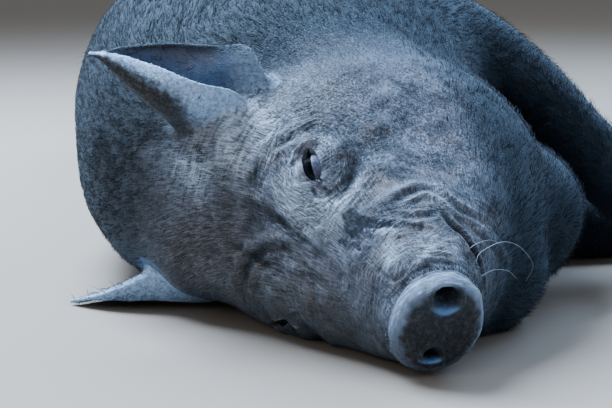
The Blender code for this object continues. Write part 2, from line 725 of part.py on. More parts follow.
def foot(leg):
    """The horn of one foot, and cutters a gap larger that make room for it in the leg."""
    (place, toes) = FEET[leg]
    place = np.array(place, float)
    toes = np.array(toes, float) / np.linalg.norm(toes)
    front = np.cross(toes, (0, 0, 1.0))
    front /= np.linalg.norm(front)
    made, cutters = [], []
    for word, rise in (("outer", 1), ("inner", -1)):
        level = rise if leg.endswith("left") else -rise
        spot = place + np.array((0, 0, level * 13.0))
        spread = toes + np.array((0, 0, level * 0.06))
        made.append(hoof(f"hoof_{leg}_{word}", spot, spread, None))
        cutters.append(hoof("room", spot, spread, None, GAP))
        claw = place - toes * 26 - front * 21 + np.array((0, 0, level * 11.0))
        lean = toes * 0.75 - front * 0.65 + np.array((0, 0, level * 0.10))
        made.append(dewclaw(f"dewclaw_{leg}_{word}", claw, lean))
        cutters.append(dewclaw("room", claw, lean, GAP))
    return made, cutters


# Where the flesh is parted: a point on each cut, the way across it, and its full size, all in millimetres.

CUTS = {
    "foreleg_left": ((214, -188, 153), (0.72, -0.24, -0.62), 106),
    "foreleg_right": ((200, -137, 42), (1.0, -0.04, -0.16), 116),
    "hindleg_left": ((186, 404, 138), (0.80, 0.28, -0.42), 134),
    "hindleg_right": ((196, 331, 46), (0.97, 0.15, -0.2), 116),
    "tail": ((-137, 648, 124), (-0.12, 0.72, -0.62), 46),
    "tail_tip": ((-98, 721, 14), (0.92, 0.38, -0.1), 40),
}
NECK_FRONT = ((-128, 0, -80), (1.0, 0.0, -0.10))  # in head millimetres
NECK_BACK = ((-24, -235, 140), (552, 400))  # its middle, and its sizes along X and Z

PLACES = {
    "foreleg_left": (340, -237, 47), "foreleg_right": (340, -123, 26), "hindleg_left": (338, 453, 45),
    "hindleg_right": (334, 340, 27), "tail": (-138, 680, 82), "tail_tip": (-20, 732, 8), "torso": (0, 100, 300), "front": (40, -450, 80),
}
FRONT_PLACES = {"neck": (-120, -260, 200), "head": (40, -450, 80)}


def slab(centre, normal, size):
    """A square plate one gap thick, across a direction."""
    normal = np.asarray(normal, float) / np.linalg.norm(normal)
    side = np.cross(normal, (0.1, 0.2, 1.0))
    side /= np.linalg.norm(side)
    return box("slab", np.asarray(centre) * MM, [side, np.cross(normal, side), normal], (size * MM, size * MM, GAP))


def body_slabs():
    """The thin cuts that part the flesh into legs, tail, torso, and head with neck."""
    plates = [slab(*cut) for cut in CUTS.values()]
    middle, sizes = NECK_BACK
    plates.append(box("slab", np.array(middle) * MM, np.eye(3), (sizes[0] * MM, GAP, sizes[1] * MM)))
    return plates


def head_slab():
    """The thin cut between the head and the neck."""
    middle, across = NECK_FRONT
    return slab(in_world(middle) / MM, np.array(across) @ HEAD_AXES, 620)


def named_pieces(whole, places):
    """One object for each loose piece of the parted flesh, named by the place that is nearest."""
    work = bmesh.new()
    work.from_mesh(whole.data)
    bmesh.ops.triangulate(work, faces=work.faces)
    islands = islands_of(work)
    pieces = {}
    for name, place in places.items():
        target = Vector(place) * MM
        islands.sort(key=lambda faces: min((face.calc_center_median() - target).length for face in faces))
        pieces[name] = islands.pop(0)
    made = {}
    for name, faces in pieces.items():
        verts = list({vert for face in faces for vert in face.verts})
        index = {vert: i for i, vert in enumerate(verts)}
        points = [tuple(vert.co) for vert in verts]
        made[name] = mesh_object(name, points, [tuple(index[v] for v in face.verts) for face in faces])
    work.free()
    bpy.data.objects.remove(whole, do_unlink=True)
    return made


def grown_copy(thing, amount):
    """A copy of the object, a little larger all round."""
    copy = bpy.data.objects.new("grown", thing.data.copy())
    bpy.context.scene.collection.objects.link(copy)
    push = copy.modifiers.new("push", "DISPLACE")
    push.strength = amount
    push.mid_level = 0.0
    return evaluated(copy)


def tree_of(thing):
    """A search tree over the object's faces."""
    from mathutils.bvhtree import BVHTree
    work = bmesh.new()
    work.from_mesh(thing.data)
    tree = BVHTree.FromBMesh(work)
    work.free()
    return tree


def build():
    """Makes every node of the pig."""
    whole = flesh()
    tree = tree_of(whole)
    carved(whole, [box("under_floor", (0, 0, -0.25), np.eye(3), (3, 3, 0.5))])
    cutters = [nostril_cutter(side) for side in NOSTRILS]
    cutters += [mouth_cutter(side) for side in (1, -1)]
    for side, name in ((1, "eye_left"), (-1, "eye_right")):
        _, rooms = eye_parts(tree, side, name)
        cutters += rooms
    carved(whole, cutters)

    room = grown_copy(whole, GAP)
    for name in EAR_RAILS:
        made = ear(name)
        under = box("under_floor", (0, 0, -0.25), np.eye(3), (3, 3, 0.5))
        carved(made, [room, under], keep_cutters=True, solver="MANIFOLD")
        bpy.data.objects.remove(under, do_unlink=True)
        largest_part(made)
    bpy.data.objects.remove(room, do_unlink=True)

    carved(whole, body_slabs())
    pieces = named_pieces(whole, PLACES)
    front = pieces.pop("front")
    carved(front, [head_slab()])
    pieces.update(named_pieces(front, FRONT_PLACES))
    merged(pieces["tail_tip"], switch_locks())
    carved(pieces["tail_tip"], [box("under_floor", (0, 0, -0.25), np.eye(3), (3, 3, 0.5))])
    largest_part(pieces["tail_tip"])
    for leg, name in (("fore_left", "foreleg_left"), ("fore_right", "foreleg_right"),
                      ("hind_left", "hindleg_left"), ("hind_right", "hindleg_right")):
        horn, rooms = foot(leg)
        carved(pieces[name], rooms)
        largest_part(pieces[name])
        for piece in horn:
            carved(piece, [box("under_floor", (0, 0, -0.25), np.eye(3), (3, 3, 0.5))])
            largest_part(piece)


build()
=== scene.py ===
"""A black domestic pig of the pot-bellied type, asleep on its right side, as a life-size museum model.

Metres, +Z up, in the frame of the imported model: the head is towards -Y, the back towards -X, the legs
towards +X and the left side is up. One skin replaces all the nodes of flesh. It is lofted and fused from the
same named stations as the solids, then its folds, lids and lips are modelled, and the bristles stand on it.
"""

import bmesh
import bpy
import numpy as np
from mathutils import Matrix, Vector
from mathutils.bvhtree import BVHTree


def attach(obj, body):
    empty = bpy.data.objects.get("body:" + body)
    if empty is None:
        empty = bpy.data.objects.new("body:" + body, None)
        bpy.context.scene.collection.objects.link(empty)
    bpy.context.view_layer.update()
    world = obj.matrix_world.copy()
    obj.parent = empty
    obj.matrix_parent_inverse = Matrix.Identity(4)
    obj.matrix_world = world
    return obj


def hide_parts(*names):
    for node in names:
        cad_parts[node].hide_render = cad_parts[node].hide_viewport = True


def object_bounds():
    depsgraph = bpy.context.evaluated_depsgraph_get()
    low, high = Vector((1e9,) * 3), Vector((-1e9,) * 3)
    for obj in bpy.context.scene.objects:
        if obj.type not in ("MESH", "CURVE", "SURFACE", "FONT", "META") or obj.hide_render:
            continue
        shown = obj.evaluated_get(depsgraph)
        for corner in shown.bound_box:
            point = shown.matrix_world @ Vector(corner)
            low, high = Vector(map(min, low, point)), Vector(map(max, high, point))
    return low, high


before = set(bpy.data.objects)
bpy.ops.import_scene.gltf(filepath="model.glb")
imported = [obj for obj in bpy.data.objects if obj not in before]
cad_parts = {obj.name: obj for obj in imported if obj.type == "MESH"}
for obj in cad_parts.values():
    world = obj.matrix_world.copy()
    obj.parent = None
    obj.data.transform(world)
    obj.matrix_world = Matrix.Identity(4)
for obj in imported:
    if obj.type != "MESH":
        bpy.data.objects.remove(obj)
cad_low, cad_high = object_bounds()
MM = 0.001

# The camera.
# It stands 0.9 m in front of the snout and 28 cm above the floor, and looks 10 degrees down through an
# 85 mm lens. Places named in pixels are pixels of its 612 x 408 picture.

PHOTO_WIDTH, PHOTO_HEIGHT = 612, 408
LENS, SENSOR = 85.0, 36.0
LOOK_AT = np.array([0.020, -0.450, 0.105])
CAMERA_DISTANCE = 1.004
CAMERA_PITCH = np.radians(80.0)
LOOK = np.array([0.0, np.sin(CAMERA_PITCH), -np.cos(CAMERA_PITCH)])
CAMERA_PLACE = LOOK_AT - CAMERA_DISTANCE * LOOK

lens = bpy.data.cameras.new("camera")
lens.lens = LENS
lens.sensor_width = SENSOR
camera = bpy.data.objects.new("camera", lens)
camera.location = CAMERA_PLACE
camera.rotation_euler = (CAMERA_PITCH, 0.0, 0.0)
bpy.context.scene.collection.objects.link(camera)
bpy.context.scene.camera = camera


def sight_lines(pixels):
    """Directions from the camera through pixels: the offset on the sensor over the focal length, turned."""
    x, y = np.asarray(pixels, float).T
    across = (x - PHOTO_WIDTH / 2) / PHOTO_WIDTH * SENSOR / LENS
    upwards = -(y - PHOTO_HEIGHT / 2) / PHOTO_WIDTH * SENSOR / LENS
    cos, sin = np.cos(CAMERA_PITCH), np.sin(CAMERA_PITCH)
    lines = np.stack([across, upwards * cos + sin, upwards * sin - cos], -1)
    return lines / np.linalg.norm(lines, axis=1, keepdims=True)


# The body's form.
# The real pig is one soft body of muscle and fat under one hide. The form is a barrel, a skull with jowls, a
# snout disc, four legs, a tail and sagging masses, lofted from stations and fused on a grid.

FORM_GRID = 4.0 * MM
CREASE_ROUNDS = 60
SOFT_UP_TO = 70.0  # the creases in front of this, in head millimetres, stay sharp

# The head's own axes: forward to the snout, left, and dorsal, from a point between the eyes.
HEAD_POINT = np.array([0.0, -0.450, 0.074])
HEAD_TURN, HEAD_DIP, HEAD_ROLL = np.radians([24.0, 17.0, -2.0])


def head_axes():
    """Forward, left and dorsal of the head: a level direction turned, dipped and rolled about itself."""
    level = np.array([np.sin(HEAD_TURN), -np.cos(HEAD_TURN), 0.0])
    upright = np.array([0.0, 0.0, 1.0])
    forward = np.cos(HEAD_DIP) * level - np.sin(HEAD_DIP) * upright
    left = np.cos(HEAD_DIP) * upright + np.sin(HEAD_DIP) * level
    dorsal = np.cross(forward, left)
    cos, sin = np.cos(HEAD_ROLL), np.sin(HEAD_ROLL)
    return np.array([forward, cos * left + sin * dorsal, cos * dorsal - sin * left])


HEAD_AXES = head_axes()


def in_world(head_mm):
    """World points from head points in millimetres."""
    return HEAD_POINT + np.asarray(head_mm, float) * MM @ HEAD_AXES


def in_head(world):
    """Head points in millimetres from world points."""
    return (np.asarray(world, float) - HEAD_POINT) @ HEAD_AXES.T / MM


# Trunk stations: y, back x, belly x, widest x, height of the middle, half thickness, squareness.
TRUNK = [
    (640, -88, 10, -40, 128, 24, 2.0),
    (630, -120, 48, -40, 130, 62, 2.0),
    (600, -150, 84, -35, 132, 96, 2.1),
    (550, -168, 112, -28, 134, 122, 2.2),
    (470, -178, 130, -20, 136, 136, 2.2),
    (370, -178, 146, -8, 139, 141, 2.2),
    (240, -172, 176, 6, 143, 147, 2.2),
    (110, -172, 200, 12, 146, 152, 2.2),
    (0, -178, 202, 8, 145, 151, 2.2),
    (-90, -186, 192, 2, 142, 146, 2.2),
    (-170, -183, 182, 0, 139, 141, 2.2),
    (-240, -170, 172, 0, 133, 133, 2.2),
    (-300, -148, 160, 4, 124, 122, 2.1),
    (-350, -112, 140, 12, 114, 104, 2.0),
    (-385, -70, 110, 20, 105, 76, 2.0),
    (-400, -40, 80, 20, 100, 40, 2.0),
]

# Head stations: forward, dorsal profile, ventral profile, widest level, half width, squareness.
HEAD = [
    (-185, 0, -160, -85, 60, 2.0), (-165, 20, -195, -95, 88, 2.0), (-130, 34, -224, -104, 106, 2.1),
    (-90, 31, -240, -110, 110, 2.2), (-55, 20, -243, -110, 105, 2.3), (-20, 6, -234, -103, 92, 2.4),
    (10, -6, -214, -94, 79, 2.4), (35, -17, -188, -84, 69, 2.4), (60, -27, -157, -75, 59, 2.3),
    (82, -33, -130, -70, 50, 2.2), (98, -36, -112, -68, 42, 2.1), (106, -40, -100, -68, 38, 2.0),
]

DISC_MIDDLE = np.array([116.0, -1.0, -68.0])
DISC_HALF_WIDTH, DISC_HALF_HEIGHT = 38.0, 34.0
DISC_DEPTH = 15.0
DISC_LEAN = np.radians(6.0)
DISC_UP = np.cos(DISC_LEAN) * HEAD_AXES[2] - np.sin(DISC_LEAN) * HEAD_AXES[0]
DISC_OUT = np.cos(DISC_LEAN) * HEAD_AXES[0] + np.sin(DISC_LEAN) * HEAD_AXES[2]
DISC_PROFILE = [
    # along the disc, as a share of its depth, and the radius as a share of its half size
    (-1.3, 0.80), (-0.85, 0.83), (-0.6, 0.93), (-0.25, 1.0),
    (0.1, 0.99), (0.34, 0.91), (0.5, 0.74), (0.52, 0.4),
]

# Legs: x, y, z, half size across, half size up and down. The left legs are the upper ones.
LEGS = {
    "foreleg_left": [
        (60, -140, 205, 60, 52), (110, -150, 205, 58, 48), (160, -168, 190, 47, 43), (208, -186, 158, 37, 36),
        (252, -200, 118, 30, 31), (290, -214, 82, 30, 30), (325, -230, 56, 24, 25), (352, -243, 39, 25, 26),
        (372, -253, 30, 26, 27), (390, -262, 26, 21, 24),
    ],
    "foreleg_right": [
        (60, -120, 74, 58, 50), (110, -128, 64, 54, 46), (160, -134, 50, 44, 40), (212, -137, 39, 36, 35),
        (262, -134, 31, 30, 30), (302, -129, 29, 30, 29), (340, -123, 26, 24, 24), (368, -119, 26, 25, 26),
        (388, -116, 26, 26, 27), (406, -115, 26, 21, 24),
    ],
    "hindleg_left": [
        (10, 470, 165, 96, 84), (62, 435, 170, 94, 76), (118, 402, 166, 76, 62), (170, 398, 146, 57, 51),
        (222, 425, 114, 43, 41), (266, 452, 84, 36, 35), (302, 460, 62, 31, 30), (338, 453, 45, 24, 25),
        (368, 443, 33, 24, 25), (392, 436, 27, 26, 27), (410, 432, 26, 21, 24),
    ],
    "hindleg_right": [
        (10, 420, 88, 86, 74), (62, 380, 80, 80, 64), (112, 345, 66, 66, 54), (162, 326, 52, 51, 46),
        (214, 338, 40, 40, 39), (260, 354, 33, 34, 33), (298, 354, 30, 30, 29), (334, 340, 27, 23, 25),
        (362, 326, 26, 23, 25), (386, 315, 26, 26, 27), (403, 309, 26, 21, 24),
    ],
}
TAIL = [
    (-128, 600, 150, 26, 26), (-134, 628, 140, 20, 20), (-138, 654, 116, 14, 14), (-138, 678, 82, 10.5, 10.5),
    (-130, 698, 46, 9, 9), (-112, 714, 20, 8, 8), (-84, 726, 10.5, 7.5, 7.5), (-50, 732, 9.5, 8, 7),
    (-20, 732, 8, 9, 6), (10, 728, 6, 6, 4.5), (36, 722, 4, 2, 2),
]
SOFT_MASSES = {
    # centre, radii, in millimetres
    "dewlap": ((158, -284, 68), (87, 82, 70)),
    "jowl": ((120, -370, 44), (84, 74, 62)),
    "belly sag": ((118, 90, 92), (112, 240, 94)),
    "shoulder": ((20, -150, 200), (116, 105, 88)),
    "haunch": ((-6, 470, 170), (124, 116, 100)),
}

# Bulges: centre and radii along forward, left and dorsal in head millimetres, and the height of the bulge.
BULGES = {
    "rim of the orbit": ((-6, 60, -22), (24, 30, 24), 5.0),
    "cheekbone": ((-48, 100, -70), (46, 40, 40), 4.0),
    "lip over the tusk": ((52, 56, -92), (17, 24, 15), 5.0),
    "forehead": ((-66, 0, 24), (34, 46, 30), 3.0),
    "chin": ((70, 0, -136), (22, 26, 22), 3.0),
    "root of the ear": ((-98, 66, 20), (30, 30, 30), 8.0),
}


def smooth_rows(rows, count):
    """Rows off a Catmull-Rom curve through the given rows: a cubic between each two, with matched slopes."""
    rows = np.asarray(rows, float)
    padded = np.vstack([2 * rows[0] - rows[1], rows, 2 * rows[-1] - rows[-2]])
    at = np.linspace(0, len(rows) - 1 - 1e-9, count)
    i = at.astype(int)
    t = (at - i)[:, None]
    a, b, c, d = (padded[i + k] for k in range(4))
    return 0.5 * (2 * b + (c - a) * t + (2 * a - 5 * b + 4 * c - d) * t**2 + (3 * b - a - 3 * c + d) * t**3)


def rings(centre, side, up, half_side, half_up, half_down, power, around, floor_power=None):
    """Superellipse rings, |a|^p + |b|^p = 1, with one half size to the side, and one each up and down.

    The half away from the side direction lies on the floor and may have its own power.
    """
    angle = np.linspace(0, 2 * np.pi, around, endpoint=False)
    cos, sin = np.cos(angle), np.sin(angle)
    exponent = 2 / np.asarray(power)[:, None]
    if floor_power is not None:
        exponent = np.where(cos < 0, 2 / np.asarray(floor_power)[:, None], exponent)
    across = np.sign(cos) * np.abs(cos) ** exponent * half_side[:, None]
    tall = np.where(sin > 0, half_up[:, None], half_down[:, None])
    along = np.sign(sin) * np.abs(sin) ** exponent * tall
    return centre[:, None] + across[..., None] * side[:, None] + along[..., None] * up[:, None]


def loft(grid):
    """Points and faces of a tube through rings: quads between rings, and a fan round a point at each end."""
    count, around, _ = grid.shape
    points = np.vstack([grid.reshape(-1, 3), grid[0].mean(0), grid[-1].mean(0)])
    i = np.arange(count - 1)[:, None] * around
    j = np.arange(around)[None, :]
    k = (j + 1) % around
    quads = np.stack([i + j, i + k, i + around + k, i + around + j], -1).reshape(-1, 4)
    j, k = j[0], k[0]
    last = (count - 1) * around
    first_fan = np.stack([np.full(around, count * around), k, j], -1)
    last_fan = np.stack([np.full(around, count * around + 1), last + j, last + k], -1)
    return points, [quads, np.vstack([first_fan, last_fan])]


def limb(rows, count=40, around=20, lift=(0, 0, 1)):
    """A tube along a path of x, y, z, with elliptical rings square to the path."""
    rows = smooth_rows(np.asarray(rows, float) * MM, count)
    centre = rows[:, :3]
    run = np.gradient(centre, axis=0)
    run /= np.linalg.norm(run, axis=1, keepdims=True)
    up = np.asarray(lift, float) - (run @ np.asarray(lift, float))[:, None] * run
    up /= np.linalg.norm(up, axis=1, keepdims=True)
    side = np.cross(run, up)
    return loft(rings(centre, side, up, rows[:, 3], rows[:, 4], rows[:, 4], np.full(count, 2.0), around))


def ball(centre, radii, rows=24, around=36):
    """An ellipsoid: rings with the sine of the angle from a pole as radius, and its cosine as height."""
    polar = np.linspace(0, np.pi, rows + 2)[1:-1]
    middle = np.asarray(centre, float) + np.outer(np.cos(polar), (0, 0, radii[2]))
    side = np.tile((1.0, 0.0, 0.0), (rows, 1))
    up = np.tile((0.0, 1.0, 0.0), (rows, 1))
    wide, deep = np.sin(polar) * radii[0], np.sin(polar) * radii[1]
    points, faces = loft(rings(middle, side, up, wide, deep, deep, np.full(rows, 2.0), around))
    points[-2] = np.asarray(centre) + (0, 0, radii[2])
    points[-1] = np.asarray(centre) - (0, 0, radii[2])
    return points, faces


def skull():
    """The skull with its jowls: superellipse rings along the head, squarer on the side that lies down."""
    rows = smooth_rows(HEAD, 56)
    forward, top, bottom, level, half, power = rows.T
    centre = in_world(np.stack([forward, np.zeros_like(forward), level], -1))
    side = np.tile(HEAD_AXES[1], (len(rows), 1))
    up = np.tile(HEAD_AXES[2], (len(rows), 1))
    pressed = power + 0.7 * np.clip((90 - forward) / 60, 0, 1)
    above, below = (top - level) * MM, (level - bottom) * MM
    return loft(rings(centre, side, up, half * MM, above, below, power, 48, pressed))


def snout_disc():
    """The rooting disc: a short drum whose radius follows a rolled rim."""
    along, size = np.array(DISC_PROFILE).T
    centre = in_world(DISC_MIDDLE) + (along * DISC_DEPTH * MM)[:, None] * DISC_OUT
    side = np.tile(HEAD_AXES[1], (len(size), 1))
    up = np.tile(DISC_UP, (len(size), 1))
    wide, tall = size * DISC_HALF_WIDTH * MM, size * DISC_HALF_HEIGHT * MM
    return loft(rings(centre, side, up, wide, tall, tall, np.full(len(size), 2.1), 40))


def barrel():
    """The trunk from rump to neck: superellipse rings along the spine, flatter on the floor."""
    rows = smooth_rows(TRUNK, 80)
    y, back, belly, widest, middle, half, power = rows.T
    centre = np.stack([widest, y, middle], -1) * MM
    side = np.tile((0.0, 0.0, 1.0), (len(rows), 1))
    up = np.tile((-1.0, 0.0, 0.0), (len(rows), 1))
    above, below = (widest - back) * MM, (belly - widest) * MM
    return loft(rings(centre, side, up, half * MM, above, below, power, 56, power + 1.0))


def together(parts):
    """One array of points and one list of face arrays from several pairs, with the faces' numbers shifted."""
    shifts = np.cumsum([0] + [len(points) for points, _ in parts[:-1]])
    points = np.vstack([points for points, _ in parts])
    return points, [group + shift for (_, groups), shift in zip(parts, shifts) for group in groups]


def mesh_of(name, points, groups):
    """A mesh from an array of points and arrays of faces, where each array holds faces of one size."""
    mesh = bpy.data.meshes.new(name)
    mesh.vertices.add(len(points))
    mesh.vertices.foreach_set("co", np.asarray(points, np.float32).ravel())
    corners = np.concatenate([group.ravel() for group in groups]).astype(np.int32)
    sizes = np.concatenate([np.full(len(group), group.shape[1]) for group in groups])
    mesh.loops.add(len(corners))
    mesh.loops.foreach_set("vertex_index", corners)
    mesh.polygons.add(len(sizes))
    mesh.polygons.foreach_set("loop_start", np.concatenate([[0], np.cumsum(sizes)[:-1]]).astype(np.int32))
    mesh.update(calc_edges=True)
    mesh.polygons.foreach_set("use_smooth", np.ones(len(sizes), bool))
    return mesh


def placed(name, mesh):
    """An object at the origin that shows the mesh."""
    thing = bpy.data.objects.new(name, mesh)
    bpy.context.scene.collection.objects.link(thing)
    return thing


def finished(thing):
    """The object with its modifiers applied."""
    graph = bpy.context.evaluated_depsgraph_get()
    mesh = bpy.data.meshes.new_from_object(thing.evaluated_get(graph))
    thing.modifiers.clear()
    old = thing.data
    thing.data = mesh
    bpy.data.meshes.remove(old)
    return thing


def fused(thing, grid):
    """The closed surfaces of an object melted into one on a cubic grid."""
    melt = thing.modifiers.new("melt", "REMESH")
    melt.mode = "VOXEL"
    melt.voxel_size = grid
    return finished(thing)


def read(mesh, what="points"):
    """The mesh's points, or its normals, as rows of three."""
    values = np.empty(len(mesh.vertices) * 3, np.float32)
    if what == "points":
        mesh.vertices.foreach_get("co", values)
    else:
        mesh.vertex_normals.foreach_get("vector", values)
    return values.reshape(-1, 3).astype(float)


def write(mesh, points):
    """Puts the points back into the mesh."""
    mesh.vertices.foreach_set("co", np.asarray(points, np.float32).ravel())
    mesh.update()


def neighbours(mesh):
    """Every vertex's neighbours in one list, where each vertex's own begin, and how many there are."""
    ends = np.empty(len(mesh.edges) * 2, np.int32)
    mesh.edges.foreach_get("vertices", ends)
    ends = ends.reshape(-1, 2)
    one = np.concatenate([ends[:, 0], ends[:, 1]])
    other = np.concatenate([ends[:, 1], ends[:, 0]])
    count = np.bincount(one, minlength=len(mesh.vertices))
    return other[np.argsort(one, kind="stable")], np.concatenate([[0], np.cumsum(count)[:-1]]), count


def around_mean(points, near):
    """For each vertex, the mean of its neighbours' values."""
    other, start, count = near
    return np.add.reduceat(points[other], start, axis=0) / count[:, None]


def relaxed(points, near, rounds, share=0.25):
    """Points moved towards the mean of their neighbours, by a share of the way in each round."""
    for _ in range(rounds):
        points = points + (around_mean(points, near) - points) * share
    return points


def fill_creases(mesh, near, share, rounds):
    """Moves hollow places out along their normals until the joins are soft folds, as far as share says."""
    points = read(mesh)
    for _ in range(rounds):
        out = read(mesh, "normals")
        push = ((around_mean(points, near) - points) * out).sum(1)
        points += (np.maximum(push, 0) * share)[:, None] * out * 0.9
        write(mesh, points)
    return points


parts = [barrel(), skull(), snout_disc()]
parts += [limb(rows) for rows in LEGS.values()]
parts.append(limb(TAIL, count=28, around=12, lift=(0, -1, 0.3)))
parts += [ball(np.array(centre) * MM, np.array(radii) * MM) for centre, radii in SOFT_MASSES.values()]
skin = fused(placed("skin", mesh_of("skin", *together(parts))), FORM_GRID)
near = neighbours(skin.data)
write(skin.data, relaxed(read(skin.data), near, 4))
soft = np.clip((SOFT_UP_TO - in_head(read(skin.data))[:, 0]) / 20, 0, 1)
points = fill_creases(skin.data, near, soft, CREASE_ROUNDS)


def bell(points, centre, radii):
    """A bell curve round a centre, with its own width along each axis: exp(-sum((p - c)^2 / r^2))."""
    return np.exp(-(((points - centre) / radii) ** 2).sum(1))


local = in_head(points)
raised = np.zeros(len(points))
for centre, radii, height in BULGES.values():
    for side in (1, -1) if centre[1] else (1,):
        raised += height * MM * bell(local, np.array(centre) * (1, side, 1), radii)
write(skin.data, points + raised[:, None] * read(skin.data, "normals"))

# The ears.
# Each is a thin upright leaf of gristle and hide, cupped, thick at its root and thin at its rim. It is lofted
# between three rails and melted into the skin on a finer grid, so its root runs into the head.

EAR_GRID = 2.0 * MM
EAR_RAILS = {
    # near margin, keel of the back, far margin, in world millimetres, from inside the head out to the tip
    "ear_left": [
        ((-24, -384, 140), (-62, -350, 128), (-6, -366, 148)),
        ((-22, -400, 168), (-78, -374, 148), (-4, -384, 178)),
        ((-32, -412, 180), (-83, -386, 158), (-14, -384, 203)),
        ((-47, -417, 185), (-88, -391, 165), (-23, -379, 211)),
        ((-62, -417, 190), (-96, -393, 172), (-40, -374, 210)),
        ((-80, -412, 197), (-106, -391, 180), (-62, -373, 212)),
        ((-100, -404, 203), (-118, -390, 191), (-86, -377, 213)),
        ((-119, -397, 207), (-129, -390, 200), (-112, -385, 211)),
        ((-139, -393, 206), (-139, -391, 204), (-138, -390, 207)),
    ],
    "ear_right": [
        ((-26, -326, 10), (-44, -346, 46), (-58, -312, 34)),
        ((-56, -334, 5), (-66, -350, 44), (-80, -304, 24)),
        ((-82, -336, 4), (-87, -346, 38), (-96, -294, 12)),
        ((-104, -336, 4), (-103, -340, 34), (-112, -290, 6)),
        ((-124, -335, 4), (-118, -338, 27), (-128, -292, 4)),
        ((-142, -332, 4), (-138, -334, 17), (-144, -301, 4)),
        ((-158, -326, 4), (-156, -326, 9), (-158, -312, 4)),
        ((-169, -320, 3), (-169, -319, 5), (-168, -317, 3)),
    ],
}
EAR_THICK = (7.0, 5.0)  # at the root and at the tip
EAR_RIM = 0.9  # the margin's thickness as a share of the keel's
EAR_SWELL = {"ear_left": 7.0, "ear_right": 0.0}  # how far the half by the near margin swells forward
EAR_ROOTS = [((-48, -384, 168), (42, 36, 36)), ((-58, -332, 26), (36, 36, 30))]  # in world millimetres
EAR_ROOT_ROUNDS = 44  # of filling the crease round each root


def ear_back(name, count=60, across=41):
    """The ear's back: half an ellipse through the rails at each step, swelled by the near margin."""
    rails = np.array(EAR_RAILS[name], float).reshape(len(EAR_RAILS[name]), 9)
    near_margin, keel, far_margin = np.split(smooth_rows(rails, count) * MM, 3, axis=1)
    turn = np.linspace(-np.pi / 2, np.pi / 2, across)[None, :, None]
    middle, half = (near_margin + far_margin) / 2, (far_margin - near_margin) / 2
    back = keel[:, None] + (middle - keel)[:, None] * (1 - np.cos(turn)) + half[:, None] * np.sin(turn)
    share = np.linspace(0, 1, count)[:, None, None]
    along = np.sin(np.pi * np.clip(share, 0, 0.97)) ** 0.5
    swell = EAR_SWELL[name] * np.sin(-2 * np.minimum(turn, 0)) * along
    return back + swell * (0, -MM, 0), keel - middle, turn, share


def ear_leaf(name):
    """A closed leaf: the ear's back, and the cup inside it by a thickness that is greatest at the keel."""
    back, bulge, turn, share = ear_back(name)
    out = np.cross(np.gradient(back, axis=0), np.gradient(back, axis=1))
    out /= np.linalg.norm(out, axis=2, keepdims=True)
    outwards = np.sign((bulge * out[:, out.shape[1] // 2]).sum())
    thick = (EAR_THICK[0] + (EAR_THICK[1] - EAR_THICK[0]) * share) * MM
    thick = thick * (EAR_RIM + (1 - EAR_RIM) * np.cos(turn))
    return loft(np.concatenate([back, (back - outwards * out * thick)[:, ::-1]], axis=1))


def quads_of(mesh):
    """The mesh's own points and quads, as a pair."""
    quads = np.empty(len(mesh.polygons) * 4, np.int32)
    mesh.polygons.foreach_get("vertices", quads)
    return read(mesh), [quads.reshape(-1, 4)]


ears = [ear_leaf(name) for name in EAR_RAILS]
form = placed("form", mesh_of("form", *together([quads_of(skin.data), *ears])))
bpy.data.objects.remove(skin, do_unlink=True)
skin = fused(form, EAR_GRID)
near = neighbours(skin.data)
write(skin.data, relaxed(read(skin.data), near, 4))
points = read(skin.data)
at_root = sum(bell(points / MM, np.array(centre), radii) for centre, radii in EAR_ROOTS)
points = fill_creases(skin.data, near, np.clip(at_root * 1.6, 0, 1) * (at_root > 0.12), EAR_ROOT_ROUNDS)

# The skin's fineness.
# Hide is one unbroken surface, but its folds are fine on the face and broad on the body. So the mesh is thinned
# behind the head, and split where lids, lips, nostrils and wrinkles are modelled.

BODY_TRIANGLES, NAPE_TRIANGLES = 30000, 15000
FACE_BACK, FACE_UNDER, FACE_RIGHT = -74.0, -146.0, -56.0  # in head millimetres
FACE_EDGE = 12.0
HEAD_END = -185.0  # where the head ends behind, in head millimetres
EAR_SPOTS = [((-72, -392, 186), (62, 32, 36)), ((-100, -326, 22), (66, 34, 34))]  # in world millimetres


def near_ears(points):
    """Near 1 round the ears, and 0 away from them."""
    return np.clip(sum(bell(points / MM, np.array(c), np.array(r)) for c, r in EAR_SPOTS) * 2.5, 0, 1)


def on_face(local):
    """Near 1 on the upper half of the face and round the muzzle, and 0 away from them."""
    f, left, dorsal = local.T
    front = np.clip((f - FACE_BACK) / FACE_EDGE, 0, 1)
    upper = np.clip((left - FACE_RIGHT) / FACE_EDGE, 0, 1)
    muzzle = np.clip((f - 78) / FACE_EDGE, 0, 1)
    return front * np.maximum(upper, muzzle) * np.clip((dorsal - FACE_UNDER) / FACE_EDGE, 0, 1)


def finest(local):
    """True round both eyes and over the muzzle, where the mesh is split."""
    f, left, dorsal = local.T
    by_left_eye = ((local - (-8, 58, -24)) ** 2).sum(1) < 50.0**2
    by_right_eye = ((local - (-4, -58, -21)) ** 2).sum(1) < 27.0**2
    muzzle = (f > 46) & (left > -8) & (dorsal > FACE_UNDER) | (f > 92)
    return by_left_eye | by_right_eye | muzzle


